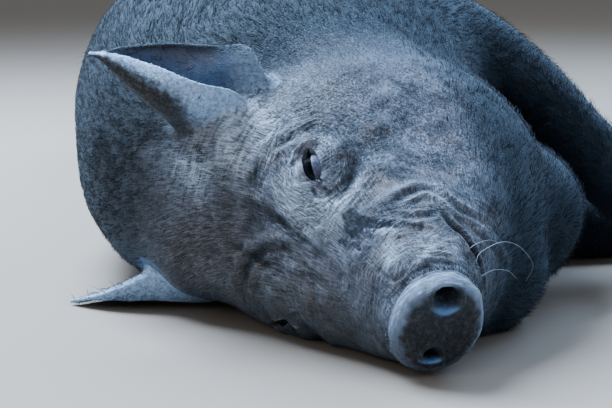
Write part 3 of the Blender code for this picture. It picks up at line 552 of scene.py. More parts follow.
def thinned(thing, free, most):
    """The object with its mesh thinned to about so many triangles where free is true, and only there."""
    group = thing.vertex_groups.new(name="free")
    group.add(np.flatnonzero(free).tolist(), 1.0, "REPLACE")
    corners = np.empty(len(thing.data.loops), np.int32)
    thing.data.loops.foreach_get("vertex_index", corners)
    corner_free = free[corners].reshape(len(thing.data.polygons), -1)
    free_faces = corner_free.all(1).sum() * (corner_free.shape[1] - 2)
    all_faces = len(corner_free) * (corner_free.shape[1] - 2)
    thin = thing.modifiers.new("thin", "DECIMATE")
    thin.ratio = (all_faces - free_faces + most) / all_faces
    thin.use_collapse_triangulate = True
    thin.vertex_group = "free"
    finished(thing)
    thing.vertex_groups.clear()
    return thing


def split_where(thing, chosen):
    """The object with each edge halved whose two ends are both chosen."""
    work = bmesh.new()
    work.from_mesh(thing.data)
    edges = [edge for edge in work.edges if chosen[edge.verts[0].index] and chosen[edge.verts[1].index]]
    bmesh.ops.subdivide_edges(work, edges=edges, cuts=1, use_grid_fill=True)
    bmesh.ops.triangulate(work, faces=[face for face in work.faces if len(face.verts) > 3])
    work.to_mesh(thing.data)
    work.free()
    return thing


local = in_head(points)
on_head = (local[:, 0] > HEAD_END) & (points[:, 1] < -0.24) | (near_ears(points) > 0.3)
thinned(skin, ~on_head, BODY_TRIANGLES)
local = in_head(read(skin.data))
on_nape = (on_face(local) == 0) & (near_ears(read(skin.data)) < 0.5) & (local[:, 0] > HEAD_END)
thinned(skin, on_nape, NAPE_TRIANGLES)
split_where(skin, finest(in_head(read(skin.data))))

# The lids and the sockets.
# Each eye lies deep between two puffy lids with wet rims. The skin is drawn over the ball as a thin dome, opened
# along a slit, and creased in arcs round it.

EYE_MIDDLE = np.array([-9.0, 56.0, -21.5])  # where the slit lies on the skin, in head millimetres
EYE_LOOK = np.array([0.35, 1.0, 0.40])
EYE_RADIUS, EYE_SUNK = 12.0, 15.5
LID_TURN = np.radians(-5.0)
LID_THICK = 2.1
SLIT_HALF_LENGTH, SLIT_SHIFT = 17.0, 3.0
UPPER_GAP, LOWER_GAP = 4.8, 5.8  # from the slit's middle line to each lid's edge
SLIT_BEND, DUCT_BEND = 1.0, 4.0  # how far that line bows along the slit, and at the tear duct
SIDES = {"left": 1, "right": -1}


def tree_of(mesh):
    """A search tree over the mesh's triangles."""
    work = bmesh.new()
    work.from_mesh(mesh)
    tree = BVHTree.FromBMesh(work)
    work.free()
    return tree


def eye_frame(tree, side):
    """The ball's centre in the world, and the ways along its slit, across it to the lower lid, and out."""
    look = (EYE_LOOK * (1, side, 1)) @ HEAD_AXES
    look /= np.linalg.norm(look)
    start = in_world(EYE_MIDDLE * (1, side, 1)) + look * 0.06
    place = np.array(tree.ray_cast(start, -look)[0])
    along = np.array((np.cos(LID_TURN) * 0.62, -side * 0.80, np.sin(LID_TURN))) @ HEAD_AXES
    along -= along.dot(look) * look
    along /= np.linalg.norm(along)
    return place - look * EYE_SUNK * MM, np.array([along, np.cross(look, along) * side, look])


def step(x, low, high):
    """0 below low, 1 above high, and 3t^2 - 2t^3 between them."""
    t = np.clip((x - low) / (high - low), 0, 1)
    return t * t * (3 - 2 * t)


def slit_middle(t):
    """The slit's middle line: bowed by 1 - t^2 towards the upper lid, and swung back at the tear duct."""
    return DUCT_BEND * step(t, 0.30, 1.1) - SLIT_BEND * (1 - t**2)


def lid_edges(t):
    """The upper and the lower lid's edge across the slit, for t from -1 to 1 along it.

    The upper one hangs nearly straight, 1 - t^4, and the lower one bows, 1 - |t|^3. Both close to the duct.
    """
    narrowed = 1 - 0.88 * step(t, 0.12, 0.80)
    upper = slit_middle(t) - UPPER_GAP * (1 - t**4) * narrowed
    return upper, slit_middle(t) + LOWER_GAP * (1 - np.abs(t) ** 3) * narrowed


def slit_distance(a, b):
    """Millimetres outside the opening between the lids, and negative inside it."""
    a = a - SLIT_SHIFT
    upper_edge, lower_edge = lid_edges(a / SLIT_HALF_LENGTH)
    beyond = np.hypot(np.abs(a) - SLIT_HALF_LENGTH, b - slit_middle(np.sign(a)))
    return np.where(np.abs(a) < SLIT_HALF_LENGTH, np.maximum(upper_edge - b, b - lower_edge), beyond)


def lidded(a, b, c):
    """The skin's height over the ball: a dome sqrt((R + lid)^2 - a^2 - b^2), a rim, and a pocket inside."""
    away = np.hypot(a, b)
    edge = slit_distance(a, b)
    thick = LID_THICK * (0.55 + 0.45 * step(edge, 0.0, 1.4)) + 0.5 * np.exp(-((edge - 5.5) / 2.2) ** 2)
    thick -= 0.7 * np.exp(-((edge - 3.2) / 0.8) ** 2)
    dome = np.sqrt(np.maximum((EYE_RADIUS + thick) ** 2 - away**2, 0))
    dome = np.maximum(dome, c - 4.5)
    over = 1 - step(away, 9.5, 17.5)
    puff = 1.5 * np.exp(-(((b - 10.0) / 4.5) ** 2) - (a / 12.0) ** 2)
    puff += 0.22 * np.sin(2 * np.pi * (a + 0.15 * b) / 2.7) * step(b, 5.5, 8.0) * (1 - step(away, 13.0, 18.0))
    ends = np.abs(a - SLIT_SHIFT) - SLIT_HALF_LENGTH
    pocket = 10.0 * step(-edge, -0.3, 0.6) * (1 - step(ends, -5, 0.5))
    return c * (1 - over) + dome * over + puff - pocket


tree = tree_of(skin.data)
EYES = {name: eye_frame(tree, side) for name, side in SIDES.items()}
points = read(skin.data)
split_where(skin, np.linalg.norm(points - EYES["left"][0], axis=1) < 21.0 * MM)
near = neighbours(skin.data)
face = on_face(in_head(read(skin.data)))[:, None]
points = read(skin.data)
points += (relaxed(points, near, 6) - points) * face

for centre, axes in EYES.values():
    a, b, c = ((points - centre) @ axes.T / MM).T
    here = (np.hypot(a, b) < 20) & (c > 0)
    points[here] += ((lidded(a, b, c) - c)[here] * MM)[:, None] * axes[2]
write(skin.data, points)

# The folds of the face.
# Thick hide lies in rolls where the sleeping face is pressed together. Each fold is a groove along a line,
# with a roll on either side. The lines are named in the picture's pixels, and have twins on the other side.

FOLDS = {
    # pixels, width and depth of the groove in millimetres, and the rolls on its two sides
    "over the brow": (
        [(322, 126), (303, 130), (289, 137), (270, 149), (255, 169), (240, 187)], 3.4, 1.7, 1.1, 0.9,
    ),
    "brow to nose": (
        [(228, 199), (252, 204), (268, 213), (283, 225), (299, 239), (314, 253), (328, 268)],
        3.6, 2.2, 1.4, 0.3,
    ),
    "inner brow": ([(262, 204), (259, 190), (266, 174), (275, 160), (287, 148)], 1.5, 0.6, 0.3, 0.3),
    "under the lower lid": (
        [(320, 187), (331, 192), (341, 187), (349, 176), (353, 162), (348, 150)], 5.0, 2.6, 1.2, 0.4,
    ),
    "tear line": ([(311, 188), (313, 191), (317, 198), (321, 206)], 1.0, 1.6, 0.3, 0.3),
    "other brow": (
        [(300, 254), (281, 248), (260, 253), (247, 267), (242, 283), (246, 300)], 4.2, 3.4, 2.0, 1.0,
    ),
    "other inner brow": ([(304, 264), (284, 259), (267, 264), (257, 276), (254, 292)], 2.6, 1.4, 0.8, 0.8),
    "mouth corner, outer": (
        [(388, 203), (398, 198), (412, 191), (427, 188), (440, 193), (452, 202), (464, 210), (487, 223)],
        2.6, 2.0, 1.2, 1.6,
    ),
    "mouth corner, inner": ([(414, 204), (419, 200), (427, 198), (435, 201), (440, 207)], 1.8, 1.3, 1.0, 0.9),
    "mouth corner, lower": ([(389, 212), (399, 215), (411, 216), (428, 215), (439, 211)], 2.2, 1.0, 0.8, 0.8),
    "lips": (
        [(440, 208), (446, 216), (453, 225), (464, 234), (473, 247), (479, 258), (484, 278), (486, 296)],
        1.8, 3.4, 1.2, 1.0,
    ),
    "lower lip": ([(462, 222), (478, 232), (493, 246), (503, 262), (508, 282)], 3.2, 1.5, 1.0, 0.5),
    "over the nose": ([(352, 222), (372, 226), (396, 226), (420, 228), (440, 233)], 2.6, 0.8, 0.4, 0.4),
    "behind the disc": (
        [(391, 300), (403, 283), (420, 270), (442, 262), (462, 268), (478, 283)], 2.8, 1.4, 0.9, 0.6,
    ),
    "nose pad": ([(429, 256), (438, 255), (448, 256), (455, 259)], 1.3, 1.3, 0.4, 0.4),
    "wart": ([(380, 271), (385, 276), (392, 279), (400, 276), (405, 270)], 1.5, 1.9, 0.6, 0.2),
    "cheek": ([(365, 158), (352, 178), (344, 196), (334, 208)], 3.6, 1.0, 0.5, 0.5),
    "jaw": ([(505, 150), (515, 180), (516, 210), (508, 238)], 6.0, 1.5, 0.8, 0.8),
}
PATH_POINTS = 90
ARCS_FROM, ARCS_TO, ARC_PITCH, ARC_HEIGHT = 17.0, 56.0, 3.8, 0.30  # the fine arcs round each eye
WART_PIXELS = [(392, 267), (393, 268), (394, 268)]
WART_RADIUS, WART_HEIGHT = 5.5, 2.6


def on_skin(pixels, tree):
    """Head points where the sight lines through a smooth line of pixels meet the skin."""
    lines = sight_lines(smooth_rows(pixels, PATH_POINTS))
    hits = [tree.ray_cast(CAMERA_PLACE, line)[0] for line in lines]
    return in_head(np.array([hit for hit in hits if hit is not None]))


def twin(path, tree):
    """The same path on the other side of the head, laid on the skin."""
    return in_head(np.array([tree.find_nearest(place)[0] for place in in_world(path * (1, -1, 1))]))


def groove(local, path, width, depth, first_roll, second_roll):
    """Height along a path: -depth exp(-(d/w)^2), plus a roll exp(-((d - 2.1w)/w)^2) on each side.

    Both fade at the path's ends. The first roll is on the outer side of the bend.
    """
    height = np.zeros(len(local))
    low, high = path.min(0) - 5 * width, path.max(0) + 5 * width
    here = np.flatnonzero(((local > low) & (local < high)).all(1))
    offset = local[here, None] - path[None]
    away = np.linalg.norm(offset, axis=2)
    nearest = away.argmin(1)
    d = away[np.arange(len(here)), nearest]
    share = nearest / (len(path) - 1)
    run = np.gradient(path, axis=0)[nearest]
    bend = np.cross(run, path[nearest] - path.mean(0))
    side = (np.cross(run, offset[np.arange(len(here)), nearest]) * bend).sum(1) > 0
    roll = np.where(side, first_roll, second_roll)
    fade = np.sin(np.pi * np.clip(share, 0.02, 0.98)) ** 0.6 * (0.78 + 0.3 * waves(local[here], 17.0, 9))
    rolls = roll * np.exp(-((d - 2.1 * width) / width) ** 2)
    height[here] = (rolls - depth * np.exp(-((d / width) ** 2))) * fade
    return height


def waves(points, length, seed, count=14):
    """A soft noise of about -1 to 1: the sum of sines in random directions, each of about one wavelength."""
    draw = np.random.default_rng(seed)
    ways = draw.normal(size=(count, 3))
    ways /= np.linalg.norm(ways, axis=1, keepdims=True)
    ways *= 2 * np.pi / (length * draw.uniform(0.75, 1.35, (count, 1)))
    return np.sin(points @ ways.T + draw.uniform(0, 2 * np.pi, count)).sum(1) / np.sqrt(count)


def eye_arcs(local, world, centre, axes):
    """Arcs round an eye: height sin(2 pi r / pitch) of a warped distance r, between two radii."""
    a, b, c = ((world - centre) @ axes.T / MM).T
    r = np.hypot(a * 0.82, b) + 2.2 * waves(local, 26.0, 5)
    band = step(r, ARCS_FROM, ARCS_FROM + 7) * (1 - step(r, ARCS_TO - 16, ARCS_TO)) * (np.abs(c) < 60)
    return ARC_HEIGHT * band * np.sin(2 * np.pi * r / ARC_PITCH) * (0.65 + 0.35 * waves(local, 15.0, 6))


tree = tree_of(skin.data)
local = in_head(points)
height = np.zeros(len(points))
for pixels, width, depth, first_roll, second_roll in FOLDS.values():
    path = on_skin(pixels, tree)
    height += groove(local, path, width, depth, first_roll, second_roll)
    if path[:, 1].mean() > 12:
        height += groove(local, twin(path, tree), width, depth, first_roll, second_roll)
for centre, axes in EYES.values():
    height += eye_arcs(local, points, centre, axes)
height += WART_HEIGHT * bell(local, on_skin(WART_PIXELS, tree)[1], WART_RADIUS)
face = on_face(local)
lumpy = 0.45 * waves(local, 21.0, 1) + 0.15 * waves(local, 7.0, 2) + 0.06 * waves(local, 2.8, 3)
lumpy += 0.16 * waves(local * (1.0, 0.25, 0.25), 2.4, 10) * step(local[:, 0], -10, 30)
from_eye = np.linalg.norm(points - EYES["left"][0], axis=1) / MM
height += face * lumpy * (1 - np.exp(-np.clip(from_eye - 10, 0, None) / 8))
height += (1 - face) * 1.0 * waves(points / MM, 90.0, 4)
points += (height * MM)[:, None] * read(skin.data, "normals")
write(skin.data, points)
fold_height = height

# The snout's disc and nostrils.
# A plate of gristle under bare wet skin, with a rolled rim, a shallow dish and two nostrils that run back and
# outwards. It is modelled in the skin by pressing the face of the disc in.

NOSTRILS = {
    # places left of the disc's middle and above it, and half sizes; the lower one is pressed smaller
    1: ((23.5, 1.5), (8.4, 9.2)),
    -1: ((-17.5, 4.0), (5.2, 6.4)),
}
NOSTRIL_DEPTH = 17.0
RIM_ROLL = 5.0  # how far the disc's edge rolls back
COAT_DEPTH = 0.8  # how far the hide lies under the solids' outline, so that the coat ends near it
FLOOR_GAP = 0.2


def disc_places(points):
    """Left, up and out of the disc's middle, in millimetres."""
    offset = (points - in_world(DISC_MIDDLE)) / MM
    return offset @ HEAD_AXES[1], offset @ DISC_UP, offset @ DISC_OUT


def nostril_distance(left, up, side):
    """How far outside a nostril's egg-shaped rim, as a share of its half size, and the way across it."""
    place, half = NOSTRILS[side]
    across = side * (left - place[0]) / half[0]
    tall = (up - place[1]) / (half[1] * (1 + 0.16 * across))
    return np.hypot(across, tall) - 1, across


left, up, out = disc_places(points)
radius = np.hypot(left / DISC_HALF_WIDTH, up / DISC_HALF_HEIGHT)
fronting = step(out, 0.0, 4.0)
curl = 1 - np.sqrt(1 - np.clip((radius - 0.45) / 0.62, 0, 0.98) ** 2)
roll = step(out, -14.0, 4.0) * curl * (radius < 1.3)
move = -RIM_ROLL * roll - 1.2 * (1 - step(radius, 0.25, 0.70)) * fronting
move -= 1.0 * np.exp(-((left / 2.4) ** 2)) * step(-up, 2, 14) * (1 - step(radius, 0.8, 1.0)) * fronting
move += (0.10 * waves(local, 3.4, 11) + 0.35 * waves(local, 14.0, 14)) * fronting
aim = np.tile(DISC_OUT, (len(points), 1))
nostrils, damp = np.zeros((2, len(points)))
for side in SIDES.values():
    edge, across = nostril_distance(left, up, side)
    soft = 0.30 + 0.55 * step(-across, -0.3, 0.8)
    inside = (1 - step(edge, -soft, 0.02)) * step(out, -9.0, -4.0)
    lip = 1.7 * np.exp(-(((edge - 0.26) / 0.22) ** 2)) * fronting
    move += lip - NOSTRIL_DEPTH * inside
    aim -= side * 0.30 * inside[:, None] * HEAD_AXES[1]
    # Where the nostril runs deep, shade is painted black on the hide.
    nostrils = np.maximum(nostrils, step(inside, 0.25, 0.8))
    # The wet shelf under each nostril, glossy and with a painted blue reflection.
    under = step(-side * across, 0.35, 0.95) * step(out, -10.0, -5.0)
    damp = np.maximum(damp, np.exp(-((edge - 0.10) / 0.30) ** 2) * under)
points += (move * MM)[:, None] * aim
points -= read(skin.data, "normals") * COAT_DEPTH * MM
points[:, 2] = np.maximum(points[:, 2], FLOOR_GAP * MM)
write(skin.data, points)

# The hide.
# Slate hide, bare enough to shine. Short hair streaks it along its lie, dry scurf greys the face, fine creases
# cross the snout and ring the eyes, and it is wet on the lid rims, by the nostrils and in a patch over the nose.
# Shade is painted into its creases, hollows and lower side, and light onto the brow, the ears and the disc's
# rim.

WET_PATCHES = {
    # pixels along the patch, and its half width in millimetres
    "over the nose": ([(350, 226), (358, 222), (370, 224), (380, 226), (390, 225)], 5.0),
    "its broad end": ([(350, 219), (352, 223), (354, 229)], 7.5),
    "drop": ([(341, 242), (343, 243), (345, 244)], 3.0),
    "second drop": ([(354, 245), (355, 246), (357, 247)], 2.4),
}
SCURF_AND_LIT_PLACES = {
    # a pixel and a radius in millimetres, where dry scurf greys the hide most and light is painted on it
    "brow": ((262, 132), 21), "temple": ((236, 146), 20), "root of the ear": ((240, 112), 18),
    "arcs": ((284, 190), 14), "under the eye": ((305, 212), 15), "over the eye": ((325, 143), 8),
    "lid": ((296, 172), 6), "bridge": ((338, 208), 13), "nose": ((356, 184), 10), "muzzle": ((388, 250), 9),
    "pad": ((430, 246), 10), "lip": ((456, 250), 9), "roll": ((436, 194), 8), "wart": ((393, 268), 6),
    "far cheek": ((186, 176), 28),
}
SHADED_PLACES = {
    # a pixel and a radius in millimetres, where shade is painted into the hide: hollows and places turned from
    # the light
    "behind the brow": ((306, 104), 26), "cheekbone": ((345, 68), 34), "upper cheek": ((440, 100), 30),
    "hollow by the eye": ((350, 165), 10), "lower lid": ((330, 162), 8), "under the brow": ((268, 212), 9),
    "low forehead": ((215, 205), 24), "by the wart": ((374, 285), 16), "lower cheek": ((225, 260), 30),
}
HEAD_ROUND = 95.0  # millimetres out from the head's own middle line
PARTING = 17.0  # how far from the eye's middle the streaks part round it
SWEEP = 0.5  # how much the hair slants behind the brow


def paint(mesh, name, values):
    """A number for each vertex, kept in the mesh under a name that a material can read."""
    layer = mesh.attributes.new(name, "FLOAT", "POINT")
    layer.data.foreach_set("value", np.asarray(values, np.float32))


def round_places(local, places):
    """A sum of bell curves round the skin at the named pixels, each with its own radius, held to 1."""
    total = np.zeros(len(local))
    for pixel, radius in places.values():
        spot = in_head(np.array(tree.ray_cast(CAMERA_PLACE, sight_lines([pixel])[0])[0])[None])
        total += bell(local, spot, radius)
        total += bell(local, spot * (1, -1, 1), radius) * (spot[0, 1] > 25)
    return np.clip(total, 0, 1)


def near_path(local, path, half_width):
    """1 on a path and 0 past its half width, with a soft edge."""
    height = np.zeros(len(local))
    here = np.flatnonzero((np.abs(local - path.mean(0)) < np.ptp(path, axis=0) / 2 + 3 * half_width).all(1))
    away = np.linalg.norm(local[here, None] - path[None], axis=2).min(1)
    height[here] = 1 - step(away + 1.2 * waves(local[here], 6.0, 8), 0.75 * half_width, 1.15 * half_width)
    return height


def nearest_of(places, spots, rows=4096):
    """For each place, the number of the nearest spot, worked out in blocks of rows."""
    blocks = [places[i:i + rows] for i in range(0, len(places), rows)]
    squares = (spots**2).sum(1)
    return np.concatenate([(squares - 2 * block @ spots.T).argmin(1) for block in blocks])


def under_ears(points):
    """1 by the upper ear's keel, where shade is painted, 1 on each ear's back, where light is painted, and 1 in
    its cup.
    """
    strip, lit, cup = np.zeros((3, len(points)))
    here = np.flatnonzero(near_ears(points) > 0.25)
    for name in EAR_RAILS:
        back, _, turn, share = ear_back(name)
        turns = np.broadcast_to(turn, (*back.shape[:2], 1)).ravel()
        shares = np.broadcast_to(share, (*back.shape[:2], 1)).ravel()
        nearest = nearest_of(points[here], back.reshape(-1, 3))
        away = np.linalg.norm(points[here] - back.reshape(-1, 3)[nearest], axis=1) / MM
        outer = 1 - step(away, 2.6, 4.0)
        turned, along = turns[nearest], shares[nearest]
        past = turned + 1.20 - 0.34 * (1 - step(along, 0.1, 0.5)) + 0.04 * waves(points[here] / MM, 6.0, 15)
        darker = step(past, -0.18, 0.22)
        far = 0.6 * step(turned, 1.10, 1.45) * (1 - step(along, 0.20, 0.50)) * (away < 8)
        pale = 0.75
        if name == "ear_left":
            pale = 1 - darker
            # Painted shade on the upper ear's back below its ridge, where it faces down.
            keel = darker * (1 - step(turned, 0.5, 1.0)) * outer * step(along, 0.02, 0.12)
            strip[here] = np.maximum(strip[here], keel)
        # Painted light on the ears' backs where they face up.
        lit[here] = np.maximum(lit[here], np.maximum(pale * outer, far) * step(along, 0.02, 0.25))
        inward = step(np.cos(turned), 0.10, 0.40) * step(along, 0.10, 0.30)
        cup[here] = np.maximum(cup[here], step(away, 3.2, 4.6) * (1 - step(away, 8.0, 11.0)) * inward)
    return strip, lit, cup


def head_turn(local):
    """Millimetres round the head from the middle of its forehead: the angle about its axis times its radius."""
    return HEAD_ROUND * np.arctan2(local[:, 1], local[:, 2] + 70)


def swept(forward):
    """Millimetres behind the brow, where the hair sweeps down to the neck: a softened min(f + 15, 0)."""
    return (np.sqrt((forward + 15) ** 2 + 400) - (forward + 15)) / 2


def combed(local):
    """A number that stays the same along each hair: the turn round the head, parted round the eyes."""
    turn = head_turn(local)
    comb = turn + SWEEP * swept(local[:, 0])
    for side in SIDES.values():
        eye = EYE_MIDDLE * (1, side, 1)
        rise = turn - head_turn(eye[None])[0]
        away = (local[:, 0] - eye[0]) ** 2 + rise**2
        here = side * local[:, 1] > 0
        comb -= here * rise * PARTING**2 / np.maximum(away, PARTING**2)
    return comb


local = in_head(points)
wet = np.zeros(len(points))
for pixels, half_width in WET_PATCHES.values():
    wet = np.maximum(wet, near_path(local, on_skin(pixels, tree), half_width))
left, up, out = disc_places(points)
radius = np.hypot(left / DISC_HALF_WIDTH, up / DISC_HALF_HEIGHT)
disc = step(out, -9.0, -4.0) * (1 - step(radius, 1.05, 1.16))
disc_face = step(out, -6.0, -1.0) * (1 - step(radius + 0.03 * waves(local, 9.0, 16), 0.74, 0.92))
ear_strip, ear_lit, ear_cup = under_ears(points)
lids, rims, sockets, by_eye = np.zeros((4, len(points)))
ring = np.full(len(points), 99.0)
for centre, axes in EYES.values():
    a, b, c = ((points - centre) @ axes.T / MM).T
    beside = np.abs(c) < 24
    edge = slit_distance(a, b)
    lids = np.maximum(lids, (1 - step(edge, 1.0, 9.0)) * beside * (1 - step(b, 0.0, 8.0)))
    # The lid rims: wet, and with a painted highlight.
    rims = np.maximum(rims, (1 - step(edge, 0.5, 1.5)) * step(edge, -0.6, 0.2) * beside)
    # Inside the slit, where shade is painted black on the hide over the socket.
    sockets = np.maximum(sockets, step(-edge, -0.1, 0.8) * beside)
    ring = np.minimum(ring, np.hypot(a * 0.85, b))
    by_eye = np.maximum(by_eye, (1 - step(np.hypot(a, b), 26.0, 58.0)) * (np.abs(c) < 60))
# The head's upper side. Below it the face gets painted shade, and the disc's upper rim gets a painted highlight.
top_side = step(local[:, 1] + 6 * waves(local, 40.0, 17), -40, 26)
normals = read(skin.data, "normals")
fuzz = np.exp(-(((radius - 1.0) / 0.07) ** 2)) * step(-up, 2, 22) * step(out, -16, -8)
# Painted shade where the hide by the back faces sideways or down, away from the light above.
bounced = (1 - step(normals[:, 2], 0.2, 0.8)) * step(-points[:, 0], -0.04, 0.10)
behind = local[:, 0] - 0.5 * np.maximum(local[:, 1] - 60, 0) + 7 * waves(local, 30.0, 18)
scurf = step(behind, -160, -68) * step(local[:, 2] + 0.3 * local[:, 1], -150, -95)
painted = {
    # the folds' height: their grooves get painted shade and their ridges are paler
    "ridge": np.clip(fold_height * 0.55, -1, 1),
    # the shelves under the nostrils are wet and get a painted blue reflection
    "wet": wet, "damp": damp, "disc": disc, "disc_face": disc_face,
    # painted shade by the ear's keel, and painted light on its back
    "ear_strip": ear_strip, "ear_lit": ear_lit, "ear_cup": ear_cup, "fuzz": fuzz,
    # a painted highlight on the lid rims, and painted shade in the nostrils and sockets
    "lid": lids, "rim": rims, "nostril": np.maximum(nostrils, sockets),
    # scurf with painted light, and painted shade in hollows
    "frost": round_places(local, SCURF_AND_LIT_PLACES), "dusk": round_places(local, SHADED_PLACES),
    "top_side": top_side, "scurf": scurf, "bounced": bounced,
    "rear": step(points[:, 1], -0.15, 0.20),
    # painted shade where the head lies close to the floor
    "low": 1 - step(points[:, 2], 0.015, 0.065),
    "stubble": step(local[:, 1], 55, 80) * (1 - step(local[:, 0], 30, 70)),
    "comb": combed(local), "by_eye": by_eye,
    "ring": ring + 1.5 * waves(local, 20.0, 12),
    "forward": local[:, 0] + 2.5 * waves(local, 26.0, 13),
    "head": step(local[:, 0], -190, -120),
    "muzzle": step(local[:, 0], 30, 80) * (1 - step(-local[:, 2], 95, 125)),
    "leg": step(points[:, 0], 0.16, 0.24) * (1 - step(local[:, 0], -190, -150)),
}
for name, values in painted.items():
    paint(skin.data, name, values)


class Nodes:
    """A material's nodes, added and linked by short calls."""

    def __init__(self, name):
        self.material = bpy.data.materials.new(name)
        self.material.use_nodes = True
        self.tree = self.material.node_tree
        self.shader = self.tree.nodes["Principled BSDF"]

    def add(self, kind, settings=(), **inputs):
        """A node, its settings, and its inputs by name: a number, a colour, or another node's output."""
        node = self.tree.nodes.new("ShaderNode" + kind)
        for key, value in dict(settings).items():
            setattr(node, key, value)
        for key, value in inputs.items():
            self.feed(node, key, value)
        return node

    def feed(self, node, key, value):
        """Sets one input, or links it."""
        key = int(key[1:]) if key[0] == "n" and key[1:].isdigit() else key.replace("_", " ")
        socket = node.inputs[key]
        if isinstance(value, bpy.types.NodeSocket):
            self.tree.links.new(value, socket)
        elif isinstance(value, tuple) and len(value) == 3 and socket.type == "RGBA":
            socket.default_value = (*value, 1.0)
        else:
            socket.default_value = value

    def attribute(self, name):
        """The number that the mesh keeps under a name."""
        return self.add("Attribute", {"attribute_name": name}).outputs["Fac"]

    def place(self, scale=(1, 1, 1), turn=(0, 0, 0)):
        """Object coordinates, turned and then scaled."""
        coordinates = self.add("TexCoord").outputs["Object"]
        mapping = self.add("Mapping", {"vector_type": "POINT"}, Vector=coordinates, Rotation=turn)
        return self.add("VectorMath", {"operation": "MULTIPLY"}, n0=mapping.outputs[0], n1=scale).outputs[0]

    def noise(self, vector, scale, detail=3.0, rough=0.55):
        """A fractal noise of about 0 to 1."""
        node = self.add("TexNoise", (), Vector=vector, Scale=scale, Detail=detail, Roughness=rough)
        return node.outputs["Fac"]

    def streaks(self, vector, along, across, detail=2.0):
        """A noise with four inputs: it changes fast with the number across, and slowly with the place."""
        settings = {"noise_dimensions": "4D"}
        inputs = {"Scale": 1.0, "Detail": detail, "Roughness": 0.6}
        node = self.add("TexNoise", settings, Vector=vector, W=self.times(along, across), **inputs)
        return node.outputs["Fac"]

    def math(self, kind, first, second=0.0):
        """One sum, product or power of two values."""
        return self.add("Math", {"operation": kind}, n0=first, n1=second).outputs[0]

    def times(self, first, second):
        """The product of two values."""
        return self.math("MULTIPLY", first, second)

    def span(self, value, low, high, to_low=0.0, to_high=1.0):
        """A value stretched from one range to another, and held at its ends."""
        ends = {"From_Min": low, "From_Max": high, "To_Min": to_low, "To_Max": to_high}
        return self.add("MapRange", (), Value=value, **ends).outputs[0]

    def blend(self, share, first, second):
        """A number between two, by a share."""
        return self.add("Mix", {"data_type": "FLOAT"}, n0=share, n2=first, n3=second).outputs[0]

    def mix(self, share, first, second):
        """A colour between two, by a share."""
        node = self.add("Mix", {"data_type": "RGBA"}, n0=share)
        for index, value in ((6, first), (7, second)):
            self.feed(node, f"n{index}", value)
        return node.outputs[2]

    def bump(self, height, distance, strength):
        """A bump of so many metres."""
        return self.add("Bump", (), Height=height, Distance=distance, Strength=strength).outputs[0]

    def finish(self, **values):
        """The material, with the shader's own inputs set to constants or to other nodes' outputs."""
        for key, value in values.items():
            self.feed(self.shader, key, value)
        return self.material


HIDE_DARK, HIDE_MID, HIDE_PALE = (0.020, 0.018, 0.021), (0.116, 0.120, 0.150), (0.40, 0.46, 0.57)
HIDE_WARM, HIDE_LID, HIDE_SHADE = (0.180, 0.126, 0.108), (0.27, 0.22, 0.25), (0.034, 0.028, 0.025)
# Of these, the first is painted shade in hollows, and the last is pale scurf mixed with painted light.
HIDE_HOLLOW_SHADE, HIDE_TAN, SCURF_AND_LIGHT_PALE = (0.056, 0.045, 0.049), (0.27, 0.20, 0.15), (0.60, 0.70, 0.84)
# Brown painted as shade on the lower side of the face.
LOWER_SHADE_BROWN = (0.150, 0.122, 0.106)
# The body's blue stands partly for a painted reflection of blue light off its black hair.
BODY_DARK, BODY_MID, BODY_PALE = (0.010, 0.014, 0.020), (0.025, 0.034, 0.047), (0.058, 0.080, 0.108)
# The first is painted shade for the body's underside. The rear colours are its own charcoal.
BODY_UNDER_SHADE, REAR_DARK, REAR_MID = (0.060, 0.060, 0.064), (0.018, 0.014, 0.011), (0.044, 0.037, 0.031)
# The first is painted light for the ears' backs.
EAR_PAINTED_LIGHT, CUP_BLUE, CUP_MAUVE = (0.50, 0.70, 0.98), (0.14, 0.23, 0.38), (0.22, 0.20, 0.25)
# Painted shade, brown-black, by the upper ear's keel.
KEEL_SHADE_DARK, KEEL_SHADE_BROWN = (0.028, 0.025, 0.022), (0.110, 0.092, 0.076)
# The last is a painted highlight for the disc's upper rim.
DISC_DARK, DISC_GREY, DISC_RIM_HIGHLIGHT = (0.026, 0.024, 0.024), (0.105, 0.099, 0.097), (0.270, 0.350, 0.480)
# The second is a painted reflection on the wet shelves under the nostrils.
FUZZ_PALE, DAMP_GLINT_BLUE, WET_DARK = (0.34, 0.42, 0.44), (0.16, 0.28, 0.50), (0.030, 0.038, 0.058)
# Of these, the first is a painted highlight on the wet lid rims, the second painted shade in nostrils and
# sockets.
LID_RIM_GLINT, HOLE_SHADE_BLACK = (0.32, 0.37, 0.44), (0.003, 0.003, 0.004)


